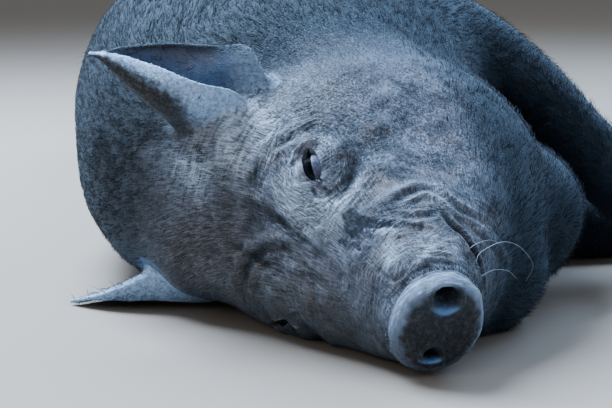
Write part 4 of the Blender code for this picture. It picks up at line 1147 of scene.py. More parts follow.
class Hide(Nodes):
    """The hide's nodes, with the patterns and the painted places that its colours are mixed by."""

    def __init__(self):
        super().__init__("hide")
        self.plain = self.place()
        self.slow = self.place((125.0, 125.0, 125.0))
        self.top, self.scurf, self.ridge = (self.attribute(name) for name in ("top_side", "scurf", "ridge"))
        self.disc, self.wet = self.attribute("disc"), self.attribute("wet")
        self.patches = self.noise(self.plain, 14.0, 4.0, 0.55)
        self.blotches = self.noise(self.plain, 70.0, 3.0, 0.6)
        self.specks = self.noise(self.plain, 330.0, 3.0, 0.65)
        self.hair = self.hairs()
        self.strands = self.span(self.hair, 0.45, 0.62)
        self.crease, self.groove = self.creases()

    def painted(self, name, share):
        """A painted place, weakened by a number or a pattern."""
        return self.times(self.attribute(name), share)

    def hairs(self):
        """Streaks along the lie of the hair: by the comb on the head, along the trunk, and down each leg."""
        head = self.streaks(self.slow, self.attribute("comb"), 1.15)
        body = self.noise(self.place((1.0, 0.10, 1.0)), 420.0, 2.0, 0.6)
        leg = self.noise(self.place((0.12, 1.0, 1.0)), 520.0, 2.0, 0.6)
        hair = self.blend(self.attribute("leg"), self.blend(self.attribute("head"), body, head), leg)
        return self.blend(self.painted("stubble", 0.75), hair, self.noise(self.plain, 480.0, 2.0, 0.6))

    def creases(self):
        """A noise in rings round the eyes and bands across the snout, and thin lines at its middle value."""
        by_eye = self.attribute("by_eye")
        rings = self.streaks(self.slow, self.attribute("ring"), 0.75)
        across = self.streaks(self.place((60.0, 60.0, 60.0)), self.attribute("forward"), 0.50)
        crease = self.blend(by_eye, across, rings)
        lines = self.span(self.math("ABSOLUTE", self.math("SUBTRACT", crease, 0.5)), 0.0, 0.055, 1.0, 0.0)
        folded = self.span(self.math("MAXIMUM", by_eye, self.attribute("muzzle")), 0.0, 0.6, 0.15, 1.0)
        return crease, self.times(self.times(lines, self.scurf), folded)

    def body_colour(self):
        """Blue-black in patches with paler strands, charcoal behind the shoulders, and painted shade where it
        faces down.
        """
        # Its blue is partly a painted reflection of blue light.
        body = self.mix(self.span(self.patches, 0.35, 0.65), BODY_DARK, BODY_MID)
        body = self.mix(self.span(self.hair, 0.50, 0.72, 0.0, 0.30), body, BODY_PALE)
        rear = self.mix(self.span(self.patches, 0.35, 0.65), REAR_DARK, REAR_MID)
        body = self.mix(self.painted("rear", 0.9), body, rear)
        # Painted shade, dull and dark, where the body faces down.
        return self.mix(self.painted("bounced", 0.75), body, self.mix(self.strands, BODY_UNDER_SHADE, HIDE_SHADE))

    def shaded_side_colour(self):
        """Painted shade on the side of the face that lies down: brown, with tan flecks."""
        lower = self.mix(self.span(self.strands, 0.0, 1.0), HIDE_SHADE, LOWER_SHADE_BROWN)
        return self.mix(self.span(self.noise(self.plain, 210.0, 3.0), 0.60, 0.70, 0.0, 0.7), lower, HIDE_TAN)

    def face_colour(self):
        """Slate in patches, warm blotches, pale strands, scurf with painted light, and painted shade in creases,
        hollows and below.
        """
        face = self.mix(self.span(self.patches, 0.40, 0.60), HIDE_DARK, HIDE_MID)
        face = self.mix(self.span(self.blotches, 0.45, 0.68, 0.0, 0.7), face, HIDE_MID)
        face = self.mix(self.span(self.noise(self.plain, 38.0, 2.0), 0.52, 0.66, 0.0, 0.6), face, HIDE_WARM)
        pale = self.span(self.blotches, 0.36, 0.58, 0.25, 1.0)
        pale = self.times(pale, self.span(self.patches, 0.38, 0.58, 0.45, 1.0))
        face = self.mix(self.times(self.strands, pale), face, HIDE_PALE)
        scurf_and_light_share = self.span(self.math("ADD", self.hair, self.crease), 0.82, 1.10, 0.12, 1.00)
        # Scurf and painted light: pale blue-grey where the face is brightest.
        face = self.mix(self.painted("frost", scurf_and_light_share), face, SCURF_AND_LIGHT_PALE)
        face = self.mix(self.painted("muzzle", self.span(self.specks, 0.42, 0.62, 0.05, 0.38)), face, HIDE_PALE)
        face = self.mix(self.span(self.ridge, 0.05, 0.6, 0.0, 0.5), face, HIDE_PALE)
        # Painted shade in the fine creases.
        face = self.mix(self.times(self.groove, 0.6), face, HIDE_DARK)
        # Painted shade in the hollows and in the places turned from the light.
        face = self.mix(self.painted("dusk", self.span(self.hair, 0.35, 0.65, 0.85, 0.50)), face, HIDE_HOLLOW_SHADE)
        # Painted shade: the face turns darker and browner on its lower side.
        face = self.mix(self.span(self.top, 0.0, 1.0, 0.70, 0.0), face, self.shaded_side_colour())
        # Painted shade close to the floor.
        face = self.mix(self.painted("low", 0.6), face, HIDE_SHADE)
        # Painted shade down in the folds' grooves.
        return self.mix(self.span(self.ridge, -1.0, -0.18, 0.85, 0.0), face, HIDE_DARK)

    def with_ears(self, colour):
        """The colour, with blue and mauve in the ears' cups, painted light on their backs and painted shade by
        the keel.
        """
        cup = self.mix(self.span(self.patches, 0.4, 0.6), CUP_BLUE, CUP_MAUVE)
        colour = self.mix(self.painted("ear_cup", 0.7), colour, cup)
        # Painted light on the ears' backs.
        pale = self.painted("ear_lit", self.span(self.specks, 0.35, 0.6, 0.55, 1.0))
        colour = self.mix(pale, colour, EAR_PAINTED_LIGHT)
        # Painted shade by the upper ear's keel.
        keel = self.mix(self.span(self.specks, 0.45, 0.7), KEEL_SHADE_DARK, KEEL_SHADE_BROWN)
        return self.mix(self.painted("ear_strip", 0.9), colour, keel)

    def with_bare_places(self, colour):
        """The colour, with the lids, the disc and its fuzzy edge, the wet places and the nostrils, and painted
        light and shade on them.
        """
        bare = self.mix(self.span(self.specks, 0.50, 0.75), DISC_DARK, DISC_GREY)
        # A painted highlight on the disc's upper rim, away from the disc's face.
        flat = self.math("MAXIMUM", self.attribute("disc_face"), self.span(self.top, 0.2, 1.0, 0.8, 0.0))
        bare = self.mix(flat, DISC_RIM_HIGHLIGHT, bare)
        colour = self.mix(self.painted("lid", self.span(self.hair, 0.40, 0.60, 0.15, 0.50)), colour, HIDE_LID)
        colour = self.mix(self.times(self.disc, 0.92), colour, bare)
        fuzz = self.painted("fuzz", self.span(self.specks, 0.35, 0.60, 0.2, 1.0))
        colour = self.mix(fuzz, colour, FUZZ_PALE)
        shiny = self.painted("wet", self.span(self.specks, 0.45, 0.62, 0.95, 0.6))
        colour = self.mix(shiny, colour, WET_DARK)
        # A painted highlight, pale blue-grey, on the wet lid rims.
        colour = self.mix(self.painted("rim", 0.8), colour, LID_RIM_GLINT)
        # Painted shade: black down in the nostrils and the eye sockets.
        colour = self.mix(self.attribute("nostril"), colour, HOLE_SHADE_BLACK)
        # A painted blue reflection on the wet shelves under the nostrils.
        damp = self.painted("damp", self.span(self.blotches, 0.38, 0.55, 0.35, 1.0))
        return self.mix(damp, colour, DAMP_GLINT_BLUE)

    def roughness(self):
        """Dry between the strands, glossier on the disc, and glossy where it is wet."""
        strand = self.span(self.hair, 0.3, 0.7, 0.60, 0.44)
        rough = self.math("ADD", strand, self.span(self.scurf, 0.0, 1.0, 0.16, 0.0))
        rough = self.blend(self.disc, rough, self.span(self.specks, 0.4, 0.7, 0.24, 0.42))
        wet = self.math("MAXIMUM", self.wet, self.attribute("damp"))
        return self.blend(self.math("MAXIMUM", wet, self.attribute("rim")), rough, 0.12)

    def relief(self):
        """Raised hair, grain and specks, and sunken creases, all weaker where the hide is bare or wet."""
        settings = {"feature": "DISTANCE_TO_EDGE"}
        grain = self.add("TexVoronoi", settings, Vector=self.plain, Scale=520.0).outputs[0]
        relief = self.math("ADD", self.times(self.hair, 0.8), self.times(self.groove, -0.6))
        relief = self.math("ADD", relief, self.times(self.span(grain, 0.0, 0.25), 0.25))
        relief = self.math("ADD", relief, self.times(self.specks, 0.5))
        bare = self.math("MAXIMUM", self.disc, self.wet)
        return self.times(relief, self.span(bare, 0.0, 1.0, 1.0, 0.35))


def hide_material():
    """Slate hide: hair along its lie, creases across it, scurf and blotches, and wet and bare places."""
    n = Hide()
    colour = n.mix(n.scurf, n.body_colour(), n.face_colour())
    return n.finish(
        Base_Color=n.with_bare_places(n.with_ears(colour)),
        Roughness=n.roughness(),
        Normal=n.bump(n.relief(), 0.0010, 0.9),
        Specular_IOR_Level=0.42,
        Specular_Tint=(0.60, 0.82, 1.0),
        Sheen_Weight=0.25,
        Sheen_Roughness=0.4,
        Sheen_Tint=(0.45, 0.72, 1.0),
    )


skin.name = "skin"
skin.data.materials.clear()
skin.data.materials.append(hide_material())
skin.data.polygons.foreach_set("use_smooth", np.ones(len(skin.data.polygons), bool))
FLESH = ["torso", "neck", "head", "ear_left", "ear_right", *LEGS, "tail", "tail_tip"]
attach(skin, "root")
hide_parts(*FLESH)

# The eyeballs.
# Dark balls with a slightly domed cornea and a hazy blue-grey rim, sunk behind the lids. The third lid, a moist
# blue-grey membrane, lies over the half of each that is next to the lower lid.

CORNEA_RISE, CORNEA_WIDTH = 0.5, 0.55
THIRD_LID = (0.55, 1.0)  # its two faces, in millimetres over the ball
EYE_RIM, EYE_BLACK, EYE_BROWN = (0.035, 0.045, 0.060), (0.006, 0.006, 0.008), (0.022, 0.016, 0.014)
MEMBRANE_DARK, MEMBRANE_PALE = (0.070, 0.080, 0.130), (0.150, 0.170, 0.250)


def eyeball(centre, axes, rows=48, around=64):
    """A ball whose radius grows round the pole that looks out: R + rise exp(-(t / width)^2)."""
    polar = np.linspace(0, np.pi, rows + 2)[1:-1]
    turn = np.linspace(0, 2 * np.pi, around, endpoint=False)
    radius = EYE_RADIUS + CORNEA_RISE * np.exp(-((polar / CORNEA_WIDTH) ** 2))
    flat = (radius * np.sin(polar))[:, None, None] * np.stack([np.cos(turn), np.sin(turn)], -1)
    deep = np.broadcast_to((radius * np.cos(polar))[:, None, None], (rows, around, 1))
    grid = np.concatenate([flat, deep], 2) * MM @ axes + centre
    return loft(grid)


def faced_out(mesh):
    """The mesh with all its faces pointing outwards."""
    work = bmesh.new()
    work.from_mesh(mesh)
    bmesh.ops.recalc_face_normals(work, faces=work.faces)
    work.to_mesh(mesh)
    work.free()
    return mesh


def third_lid(centre, axes, count=44, across=14):
    """A crescent on the ball, from a bowed free edge to under the lower lid, closed by its two faces."""
    a = np.linspace(-13.0, 14.5, count)[:, None]
    v = np.linspace(0, 1, across)[None]
    free = -0.6 + 2.6 * (a / 14.5) ** 2 - 1.2 * (a / 14.5)
    b = free + (8.6 - free) * v
    flat = np.minimum(a**2 + b**2, (EYE_RADIUS - 0.2) ** 2)
    low, high = (np.sqrt((EYE_RADIUS + rise) ** 2 - flat) for rise in THIRD_LID)
    outer = np.stack([a + 0 * b, b, high - 0.35 * np.exp(-v / 0.08)], -1)
    inner = np.stack([a + 0 * b, b, low], -1)
    return loft(np.concatenate([outer, inner[:, ::-1]], 1) * MM @ axes + centre)


def eye_material():
    """A near-black ball with a blue-grey rim and brown specks. Its gloss is low, because the lids shade it."""
    n = Nodes("eye")
    colour = n.mix(n.span(n.attribute("front"), 0.52, 0.86), EYE_RIM, EYE_BLACK)
    colour = n.mix(n.span(n.noise(n.place(), 900.0, 2.0), 0.5, 0.7, 0.0, 0.3), colour, EYE_BROWN)
    return n.finish(Base_Color=colour, Roughness=0.22, Specular_IOR_Level=0.015)


def third_lid_material():
    """A moist blue-grey membrane, mottled."""
    n = Nodes("third lid")
    colour = n.mix(n.span(n.noise(n.place(), 700.0, 3.0), 0.4, 0.65), MEMBRANE_DARK, MEMBRANE_PALE)
    return n.finish(Base_Color=colour, Roughness=0.50)


EYE_FINISH, THIRD_LID_FINISH = eye_material(), third_lid_material()
for name, (centre, axes) in EYES.items():
    mesh = faced_out(mesh_of(f"eyeball_{name}", *eyeball(centre, axes)))
    paint(mesh, "front", (read(mesh) - centre) @ axes[2] / (EYE_RADIUS * MM))
    mesh.materials.append(EYE_FINISH)
    piece = placed(f"eyeball_{name}", mesh)
    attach(piece, "root")
    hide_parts(f"eye_{name}")
    mesh = faced_out(mesh_of(f"third_lid_{name}", *third_lid(centre, axes)))
    mesh.materials.append(THIRD_LID_FINISH)
    piece = placed(f"third_lid_{name}", mesh)
    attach(piece, "root")

# The hooves and dewclaws.
# Each foot walks on two hooves of dull dark horn and carries two dewclaws behind them. The horn grows in rings
# from a soft band at the hair line and wears to a blunt edge.

FEET = {
    # the foot's place and the way its toes point, in millimetres
    "fore_left": ((388, -261, 26), (0.88, -0.46, -0.04)),
    "fore_right": ((405, -115, 25), (1.0, 0.02, 0.0)),
    "hind_left": ((409, 432, 25), (0.97, -0.20, 0.0)),
    "hind_right": ((402, 309, 25), (0.94, -0.34, 0.0)),
}
HOOF_LENGTH, HOOF_HALF_WIDTH, HOOF_HALF_DEPTH = 43.0, 11.0, 17.0
DEWCLAW_LENGTH, DEWCLAW_HALF = 22.0, 7.0
RING_PITCH, RING_HEIGHT = 0.085, 0.018  # growth rings, as shares of the hoof's length and of its half size
HORN_INSET = 0.2 * MM
HOOVES_APART, DEWCLAWS_APART = 13.0, 11.0  # from the middle of the foot, in millimetres
DEWCLAW_BACK, DEWCLAW_DOWN = 26, 21  # from the foot's place, in millimetres
HORN_DARK, HORN_MID = (0.022, 0.019, 0.018), (0.070, 0.060, 0.052)
HORN_RING, HORN_SCUFF = (0.100, 0.086, 0.072), (0.170, 0.155, 0.135)


def unit(vector):
    """The vector at length one."""
    vector = np.asarray(vector, float)
    return vector / np.linalg.norm(vector)


def horn_rings(steps, count):
    """Smooth station rows, and a factor near 1 that swells and shrinks along them as growth rings."""
    rows = smooth_rows(steps, count)
    ripple = 1 + RING_HEIGHT * np.sin(2 * np.pi * rows[:, 0] / RING_PITCH) * step(0.9 - rows[:, 0], 0, 0.3)
    return rows, ripple


def hoof(place, toes, around=40, count=46):
    """A wedge of superellipse rings that narrows to a blunt toe, with a front wall and a flatter sole."""
    toes = unit(toes)
    front = unit(np.cross(toes, (0, 0, 1.0)))
    upper = np.cross(front, toes)
    rows, ripple = horn_rings([
        # along, half width, front, sole
        (-0.42, 0.80, 0.80, 0.80), (-0.2, 0.96, 0.96, 0.98), (0.1, 1.0, 0.98, 1.0), (0.34, 0.96, 0.96, 0.62),
        (0.58, 0.82, 0.92, 0.14), (0.80, 0.58, 0.86, -0.32),
        (0.94, 0.34, 0.80, -0.58), (1.0, 0.14, 0.74, -0.66),
    ], count)
    along, wide, fore, sole = rows.T
    centre = np.asarray(place) * MM + (along * HOOF_LENGTH * MM)[:, None] * toes
    centre = centre + ((fore - sole) / 2 * HOOF_HALF_DEPTH * MM)[:, None] * front
    half_side = wide * ripple * HOOF_HALF_WIDTH * MM - HORN_INSET
    half_up = (fore + sole) / 2 * ripple * HOOF_HALF_DEPTH * MM - HORN_INSET
    sides, fronts = np.tile(upper, (count, 1)), np.tile(front, (count, 1))
    return loft(rings(centre, sides, fronts, half_side, half_up, half_up, np.full(count, 2.8), around))


def dewclaw(place, toes, around=28, count=26):
    """A blunt cone of round rings that points down the foot and a little back."""
    toes = unit(toes)
    rows, ripple = horn_rings([(-0.4, 0.85), (0.1, 1.0), (0.6, 0.75), (0.9, 0.42), (1.0, 0.15)], count)
    centre = np.asarray(place) * MM + (rows[:, 0] * DEWCLAW_LENGTH * MM)[:, None] * toes
    side = unit(np.cross(toes, (0, 0, 1.0)))
    half = rows[:, 1] * ripple * DEWCLAW_HALF * MM - HORN_INSET
    sides, ups = np.tile(side, (count, 1)), np.tile(np.cross(side, toes), (count, 1))
    return loft(rings(centre, sides, ups, half, half, half, np.full(count, 2.0), around))


def horn_material():
    """Dull brown-black horn: streaks down its length, growth rings across it, and a scuffed pale edge."""
    n = Nodes("horn")
    plain = n.place()
    streak = n.noise(n.place((0.10, 1.0, 1.0)), 700.0, 3.0)
    ring = n.noise(n.place((1.0, 0.2, 0.2)), 160.0, 2.0)
    scuff = n.noise(plain, 240.0, 4.0, 0.7)
    colour = n.mix(n.span(streak, 0.35, 0.65), HORN_DARK, HORN_MID)
    colour = n.mix(n.span(ring, 0.55, 0.75, 0.0, 0.4), colour, HORN_RING)
    colour = n.mix(n.span(scuff, 0.58, 0.72, 0.0, 0.55), colour, HORN_SCUFF)
    rough = n.span(scuff, 0.3, 0.7, 0.38, 0.62)
    relief = n.bump(n.math("ADD", streak, scuff), 0.0005, 0.6)
    return n.finish(Base_Color=colour, Roughness=rough, Normal=relief)


HORN_FINISH = horn_material()
for leg, (place, toes) in FEET.items():
    place, toes = np.array(place, float), unit(toes)
    front = unit(np.cross(toes, (0, 0, 1.0)))
    for word, rise in (("outer", 1), ("inner", -1)):
        level = rise if leg.endswith("left") else -rise
        claw = place - toes * DEWCLAW_BACK - front * DEWCLAW_DOWN + (0, 0, level * DEWCLAWS_APART)
        made = {
            "hoof": hoof(place + (0, 0, level * HOOVES_APART), toes + (0, 0, level * 0.06)),
            "dewclaw": dewclaw(claw, toes * 0.75 - front * 0.65 + (0, 0, level * 0.10)),
        }
        for kind, (spots, faces) in made.items():
            spots[:, 2] = np.maximum(spots[:, 2], 0.0)
            mesh = faced_out(mesh_of(f"{kind}_horn_{leg}_{word}", spots, faces))
            mesh.materials.append(HORN_FINISH)
            piece = placed(mesh.name, mesh)
            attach(piece, "root")
            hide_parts(f"{kind}_{leg}_{word}")

# The coat.
# Sparse bristles over hide: fine, short and pale on the face, black on the jaw, coarse and black on the body,
# and long in the tail's switch. Each is a thin three-sided needle with its root sunk in the skin.

COAT = {
    # how many, length in millimetres and its spread as a share, root half width, lift in degrees, palest tone
    "coat_face": (6500, 4.0, 0.35, 0.10, 7, 0.9),
    "coat_cheek": (10000, 6.0, 0.40, 0.12, 7, 0.80),
    "coat_jaw": (11000, 13.0, 0.45, 0.17, 14, 0.28),
    "coat_ears": (5500, 4.2, 0.35, 0.11, 9, 0.70),
    "coat_nape": (19000, 15.0, 0.35, 0.17, 5, 0.10),
    "coat_upper": (19500, 16.0, 0.35, 0.20, 5, 0.10),
    "coat_lower": (13000, 15.0, 0.35, 0.24, 7, 0.30),
    "coat_legs": (11000, 9.0, 0.35, 0.20, 8, 0.30),
    "coat_switch": (1500, 46.0, 0.30, 0.30, 10, 0.22),
    "coat_snout": (1100, 3.6, 0.35, 0.14, 34, 1.0),
}
PATCH = 0.003  # of the bake map, for each bristle
ROOT_SUNK = 0.6  # millimetres
CROSS = np.array([[1.0, 0.0], [-0.5, 0.87], [-0.5, -0.87]])
LEG_STEPS = 60


def leg_paths():
    """Points along each leg and the tail in metres, the way it runs there, and the share of its length."""
    spots, ways, shares = [], [], []
    for rows in [*LEGS.values(), TAIL]:
        path = smooth_rows(np.array(rows, float)[:, :3] * MM, LEG_STEPS)
        way = np.gradient(path, axis=0)
        spots.append(path)
        ways.append(way / np.linalg.norm(way, axis=1, keepdims=True))
        shares.append(np.linspace(0, 1, LEG_STEPS))
    return np.vstack(spots), np.vstack(ways), np.concatenate(shares)


LEG_SPOTS, LEG_WAYS, LEG_SHARES = leg_paths()


def lie(places):
    """The way the coat lies: back along the head and round the eyes, back along the trunk, and down each leg.

    It also gives the nearest of the legs' points, and how far each place counts as leg.
    """
    local = in_head(places)
    f, left, dorsal = local.T
    fan = np.clip((f + 150) / 200, 0, 1)
    tilt = 0.35 * fan * np.clip((dorsal + 70) / 60, -1.6, 1)
    sideways = 0.25 * np.sign(left) * fan - SWEEP * (1 - step(f, -50, 10))
    head_way = np.stack([-np.ones(len(places)), sideways, tilt], -1)
    for side in SIDES.values():
        offset = local - EYE_MIDDLE * (1, side, 1)
        away = np.maximum((offset**2).sum(1), PARTING**2)[:, None]
        here = (side * left > 0)[:, None]
        turned = head_way - 2 * (head_way * offset).sum(1, keepdims=True) * offset / away
        head_way = head_way + here * turned * PARTING**2 / away
    body_way = np.tile((0.30, 1.0, -0.05), (len(places), 1))
    on_head = step(f, -200, -130)[:, None]
    way = (head_way @ HEAD_AXES) * on_head + body_way * (1 - on_head)
    nearest = nearest_of(places, LEG_SPOTS)
    on_leg = step(LEG_SHARES[nearest], 0.18, 0.5) * (1 - on_head[:, 0])
    return way * (1 - on_leg[:, None]) + LEG_WAYS[nearest] * on_leg[:, None], nearest, on_leg


def bake_place(places, nearest, on_leg):
    """A place on the skin's unwrap: the turn round the spine and the way along it, and a strip for each leg."""
    turn = np.arctan2(places[:, 2] - 0.12, places[:, 0]) / (2 * np.pi) + 0.5
    length = (places[:, 1] - cad_low[1]) / (cad_high[1] - cad_low[1])
    leg = nearest // LEG_STEPS
    spot = LEG_SPOTS[nearest]
    round_leg = np.arctan2(places[:, 2] - spot[:, 2], places[:, 1] - spot[:, 1]) / (2 * np.pi) + 0.5
    strip = 0.70 + 0.06 * leg + 0.05 * round_leg
    on = on_leg > 0.5
    return np.stack([np.where(on, strip, 0.69 * turn), np.where(on, LEG_SHARES[nearest], length)], -1) * 0.99


def triangles_of(mesh):
    """The corners of the mesh's triangles, by number."""
    corners = np.empty(len(mesh.loops), np.int32)
    mesh.loops.foreach_get("vertex_index", corners)
    return corners.reshape(-1, 3)


SKIN_POINTS, SKIN_NORMALS = read(skin.data), read(skin.data, "normals")
SKIN_TRIANGLES = triangles_of(skin.data)
CORNERS = SKIN_POINTS[SKIN_TRIANGLES]
AREAS = np.linalg.norm(np.cross(CORNERS[:, 1] - CORNERS[:, 0], CORNERS[:, 2] - CORNERS[:, 0]), axis=1) / 2
MIDDLES = CORNERS.mean(1)
on_floor = (points[:, 2] < 1.5 * MM).astype(float)
BARE = np.maximum.reduce([disc, rims, sockets, nostrils, wet, lids * 0.3, on_floor])[SKIN_TRIANGLES].max(1)


def regions():
    """How thickly each part of the coat grows on each triangle of the skin, from 0 to 1."""
    f, left, dorsal = in_head(MIDDLES).T
    x, y, z = MIDDLES.T
    head_share = step(f, -150, -110)
    face_share = step(f, -62, -40) * step(dorsal, -110, -80)
    jaw_share = head_share * (1 - step(dorsal, -150, -120)) * (1 - step(f, 60, 90))
    ear_share = np.clip(near_ears(MIDDLES) * 1.4 - 0.3, 0, 1) * (1 - face_share)
    nape_share = (1 - head_share) * (1 - step(y, -0.22, -0.14)) * (1 - ear_share)
    _, _, leg_share = lie(MIDDLES)
    tail_share = step(y, 0.66, 0.68)
    trunk_share = (1 - head_share) * (1 - nape_share) * (1 - leg_share) * (1 - tail_share)
    upper = step(z, 0.10, 0.18)
    switch_share = step(y, 0.70, 0.72) * step(x, -0.10, -0.05)
    left_of, above, beyond = disc_places(MIDDLES)
    rim_of_disc = np.hypot(left_of / DISC_HALF_WIDTH, above / DISC_HALF_HEIGHT)
    snout_share = step(beyond, -12, -8) * np.exp(-(((rim_of_disc - 1.0) / 0.07) ** 2))
    return {
        "coat_face": face_share * (1 - 0.65 * step(f, 30, 80)) * step(left, -50, 0),
        "coat_cheek": head_share * (1 - face_share) * (1 - jaw_share) * (1 - ear_share),
        "coat_jaw": jaw_share,
        "coat_ears": ear_share,
        "coat_nape": nape_share,
        "coat_upper": trunk_share * upper,
        "coat_lower": trunk_share * (1 - upper),
        "coat_legs": leg_share * (1 - nape_share) * (1 - switch_share),
        "coat_switch": switch_share,
        "coat_snout": snout_share,
    }


def rooted(share, count, draw):
    """Random places on the skin, as thick as the share says, with the skin's normals there."""
    chance = AREAS * share * np.clip(1 - 1.5 * BARE, 0, 1)
    chosen = draw.choice(len(chance), count, p=chance / chance.sum())
    u, v = np.sqrt(draw.random(count)), draw.random(count)
    weights = np.stack([1 - u, u * (1 - v), u * v], -1)[..., None]
    corners = SKIN_TRIANGLES[chosen]
    normals = (SKIN_NORMALS[corners] * weights).sum(1)
    return (SKIN_POINTS[corners] * weights).sum(1), normals / np.linalg.norm(normals, axis=1, keepdims=True)


def needle_faces(count):
    """Faces of needles of seven points: a base, three walls to the second ring, and three to the tip."""
    first = np.arange(count)[:, None] * 7
    base = first + np.array([[0, 2, 1]])
    walls = np.concatenate([first + np.array([[i, (i + 1) % 3, 3 + (i + 1) % 3, 3 + i]]) for i in range(3)])
    tips = np.concatenate([first + np.array([[3 + i, 3 + (i + 1) % 3, 6]]) for i in range(3)])
    return [np.concatenate([base, tips]), walls]


def bristles(roots, normals, lengths, half_width, lift, draw):
    """Needles with a base ring, a ring 45 % along that leans out by the lift, and a tip bent back down."""
    count = len(roots)
    way, nearest, on_leg = lie(roots)
    way = way + 0.20 * np.linalg.norm(way, axis=1, keepdims=True) * draw.normal(size=(count, 3))
    way -= (way * normals).sum(1, keepdims=True) * normals
    way /= np.linalg.norm(way, axis=1, keepdims=True)
    across = np.cross(normals, way)
    angle = np.radians(lift) * draw.uniform(0.5, 1.6, (count, 1))
    rising = np.cos(angle) * way + np.sin(angle) * normals
    falling = np.cos(angle * 0.15) * way + np.sin(angle * 0.15) * normals
    falling = falling + across * draw.normal(0, 0.10, (count, 1))
    lengths = lengths[:, None] * MM
    base = roots - normals * ROOT_SUNK * MM
    middle = roots + rising * lengths * 0.45
    tip = middle + falling * lengths * 0.55
    ring = CROSS[None, :, :1] * across[:, None] + CROSS[None, :, 1:] * normals[:, None]
    low = base[:, None] + ring * half_width * MM
    high = middle[:, None] + ring * half_width * 0.75 * MM
    spots = np.concatenate([low, high, tip[:, None]], 1)
    spots[..., 2] = np.maximum(spots[..., 2], 0.25 * MM)
    return spots.reshape(-1, 3), needle_faces(count), bake_place(roots, nearest, on_leg)


def bake_map(mesh, roots):
    """The bake map: each bristle a patch at its root's place, with its length along v and its sides along u."""
    corners = np.empty(len(mesh.loops), np.int32)
    mesh.loops.foreach_get("vertex_index", corners)
    bristle, part = corners // 7, corners % 7
    offset = np.array([(0, 0), (0.5, 0), (1, 0), (0, 0.5), (0.5, 0.5), (1, 0.5), (0.5, 1)]) * PATCH
    layer = mesh.uv_layers.new(name="OFBake")
    layer.data.foreach_set("uv", (roots[bristle] + offset[part]).astype(np.float32).ravel())


BRISTLE_DARK, BRISTLE_GREY, BRISTLE_PALE = (0.011, 0.012, 0.015), (0.14, 0.165, 0.22), (0.55, 0.64, 0.75)


def bristle_material():
    """Coarse black to grey hair with a blue shine, where each bristle has its own tone."""
    n = Nodes("bristle")
    tone = n.attribute("tone")
    colour = n.mix(n.span(tone, 0.0, 0.6), BRISTLE_DARK, BRISTLE_GREY)
    colour = n.mix(n.span(tone, 0.6, 1.0), colour, BRISTLE_PALE)
    return n.finish(Base_Color=colour, Roughness=0.55, Specular_IOR_Level=0.20, Specular_Tint=(0.55, 0.80, 1.0))


BRISTLE_FINISH = bristle_material()
for number, (name, share) in enumerate(regions().items()):
    draw = np.random.default_rng(100 + number)
    count, length, spread, half_width, lift, palest = COAT[name]
    roots, normals = rooted(share, count, draw)
    lengths = length * (1 + spread * draw.uniform(-1, 1, count))
    spots, faces, unwrap = bristles(roots, normals, lengths, half_width, lift, draw)
    mesh = mesh_of(name, spots, faces)
    bake_map(mesh, unwrap)
    paint(mesh, "tone", np.repeat(palest * draw.random(count) ** 1.3, 7))
    mesh.materials.append(BRISTLE_FINISH)
    piece = placed(name, mesh)
    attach(piece, "root")

# The whiskers and lashes.
# A few long pale whiskers curl out of the lower lip, and a row of short dark lashes hangs from each upper lid.

WHISKERS = {
    # pixels from the root to the tip, and how far each point stands off the skin in millimetres
    "long": ([(476, 262), (481, 252), (502, 242), (520, 247), (533, 265), (526, 281)], (0, 4, 8, 9, 8, 7)),
    "short": ([(470, 248), (478, 243), (490, 240), (499, 243)], (0, 3, 5, 6)),
    "low": ([(481, 276), (494, 270), (508, 271), (517, 279)], (0, 3, 5, 6)),
}
WHISKER_HALF, LASH_HALF = 0.28, 0.16
LASHES = 34
WHISKER_TONE, LASH_TONE = 0.9, 0.03


def whisker(pixels, offs):
    """A thin tube from the skin to a fine tip, through points on sight lines a little off the skin."""
    hits = [tree.ray_cast(CAMERA_PLACE, line)[0] for line in sight_lines(pixels)]
    spots = np.array(hits) - sight_lines(pixels) * np.array(offs, float)[:, None] * MM
    taper = WHISKER_HALF * np.linspace(1.0, 0.35, len(spots))[:, None]
    return limb(np.hstack([spots / MM, taper, taper]), count=40, around=6)


def lash_row(centre, axes, draw):
    """Needles along the upper lid's edge that hang across the slit and curve out at their tips."""
    t = np.linspace(-0.86, 0.62, LASHES)
    a = t * SLIT_HALF_LENGTH + SLIT_SHIFT
    b = lid_edges(t)[0] - 0.5
    c = np.sqrt((EYE_RADIUS + 1.2) ** 2 - np.minimum(a**2 + b**2, 120))
    root = np.stack([a, b, c], -1)
    length = draw.uniform(4.5, 7.0, LASHES)[:, None]
    way = np.stack([0.35 + 0.1 * t, np.full(LASHES, 0.62), np.full(LASHES, 0.75)], -1)
    way = way + draw.normal(0, 0.08, (LASHES, 3))
    middle = root + way * length * 0.5
    tip = middle + (way + (0.1, 0.35, -0.45)) * length * 0.5
    ring = np.stack([CROSS[:, 0], np.zeros(3), CROSS[:, 1]], -1) * LASH_HALF
    spots = np.concatenate([root[:, None] + ring, middle[:, None] + ring * 0.7, tip[:, None]], 1)
    return (spots.reshape(-1, 3) * MM) @ axes + centre, needle_faces(LASHES)


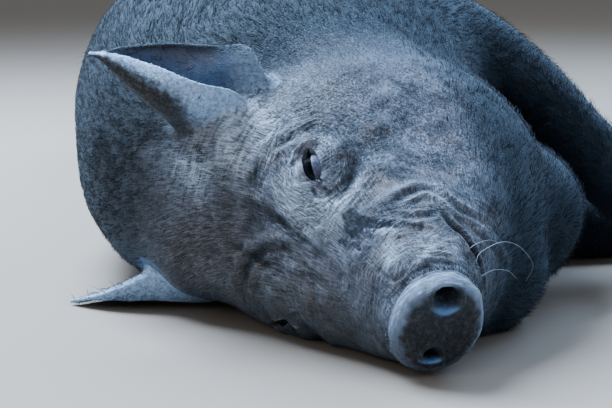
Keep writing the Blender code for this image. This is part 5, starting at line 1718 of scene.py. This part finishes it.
hairs = {f"whisker_{name}": whisker(*values) for name, values in WHISKERS.items()}
for name, (centre, axes) in EYES.items():
    hairs[f"lashes_{name}"] = lash_row(centre, axes, np.random.default_rng(7))
for name, (spots, faces) in hairs.items():
    mesh = faced_out(mesh_of(name, spots, faces))
    paint(mesh, "tone", np.full(len(spots), WHISKER_TONE if name.startswith("whisker") else LASH_TONE))
    mesh.materials.append(BRISTLE_FINISH)
    piece = placed(name, mesh)
    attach(piece, "root")

# The studio.
# A plain pale floor under four soft square lights, in a low even light all round. The strongest stands behind
# the back, a cool one beyond the legs, and two weak ones on the camera's left and right.

FLOOR_HALF = 15.0
FLOOR_CORNERS = np.array([(-1, -1, 0), (1, -1, 0), (1, 1, 0), (-1, 1, 0)]) * FLOOR_HALF
FLOOR_COLOUR = (0.36, 0.32, 0.28)
LIGHTS = {
    # place, aim, size, watts and colour
    "key": ((-0.95, 0.45, 2.0), (0.0, -0.35, 0.1), 1.5, 175.0, (0.65, 0.80, 1.0)),
    "fill": ((-1.5, -2.0, 1.0), (0.0, -0.45, 0.1), 1.2, 8.0, (1.0, 0.93, 0.86)),
    "sky": ((1.7, 1.3, 1.7), (0.1, -0.1, 0.1), 1.6, 50.0, (0.50, 0.70, 1.0)),
    "front": ((1.4, -1.5, 1.3), (0.3, -0.2, 0.1), 1.2, 7.0, (0.63, 0.78, 1.0)),
}
ROUND_COLOUR, ROUND_STRENGTH = (0.90, 0.94, 1.0, 1.0), 0.33

floor_mesh = mesh_of("floor", FLOOR_CORNERS, [np.array([[0, 1, 2, 3]])])
floor_mesh.materials.append(Nodes("floor").finish(Base_Color=FLOOR_COLOUR, Roughness=0.75))
floor = placed("floor", floor_mesh)


def soft_light(name, place, aim, size, power, colour):
    """A square soft light that looks at a point."""
    lamp = bpy.data.lights.new(name, "AREA")
    lamp.shape = "SQUARE"
    lamp.size = size
    lamp.energy = power
    lamp.color = colour
    light = bpy.data.objects.new(name, lamp)
    light.location = place
    light.rotation_euler = (Vector(aim) - Vector(place)).to_track_quat("-Z", "Y").to_euler()
    bpy.context.scene.collection.objects.link(light)


for name, values in LIGHTS.items():
    soft_light(name, *values)
world = bpy.data.worlds.new("studio")
world.use_nodes = True
background = world.node_tree.nodes["Background"]
background.inputs["Color"].default_value = ROUND_COLOUR
background.inputs["Strength"].default_value = ROUND_STRENGTH
bpy.context.scene.world = world
bpy.context.scene.view_settings.look = "AgX - Medium High Contrast"
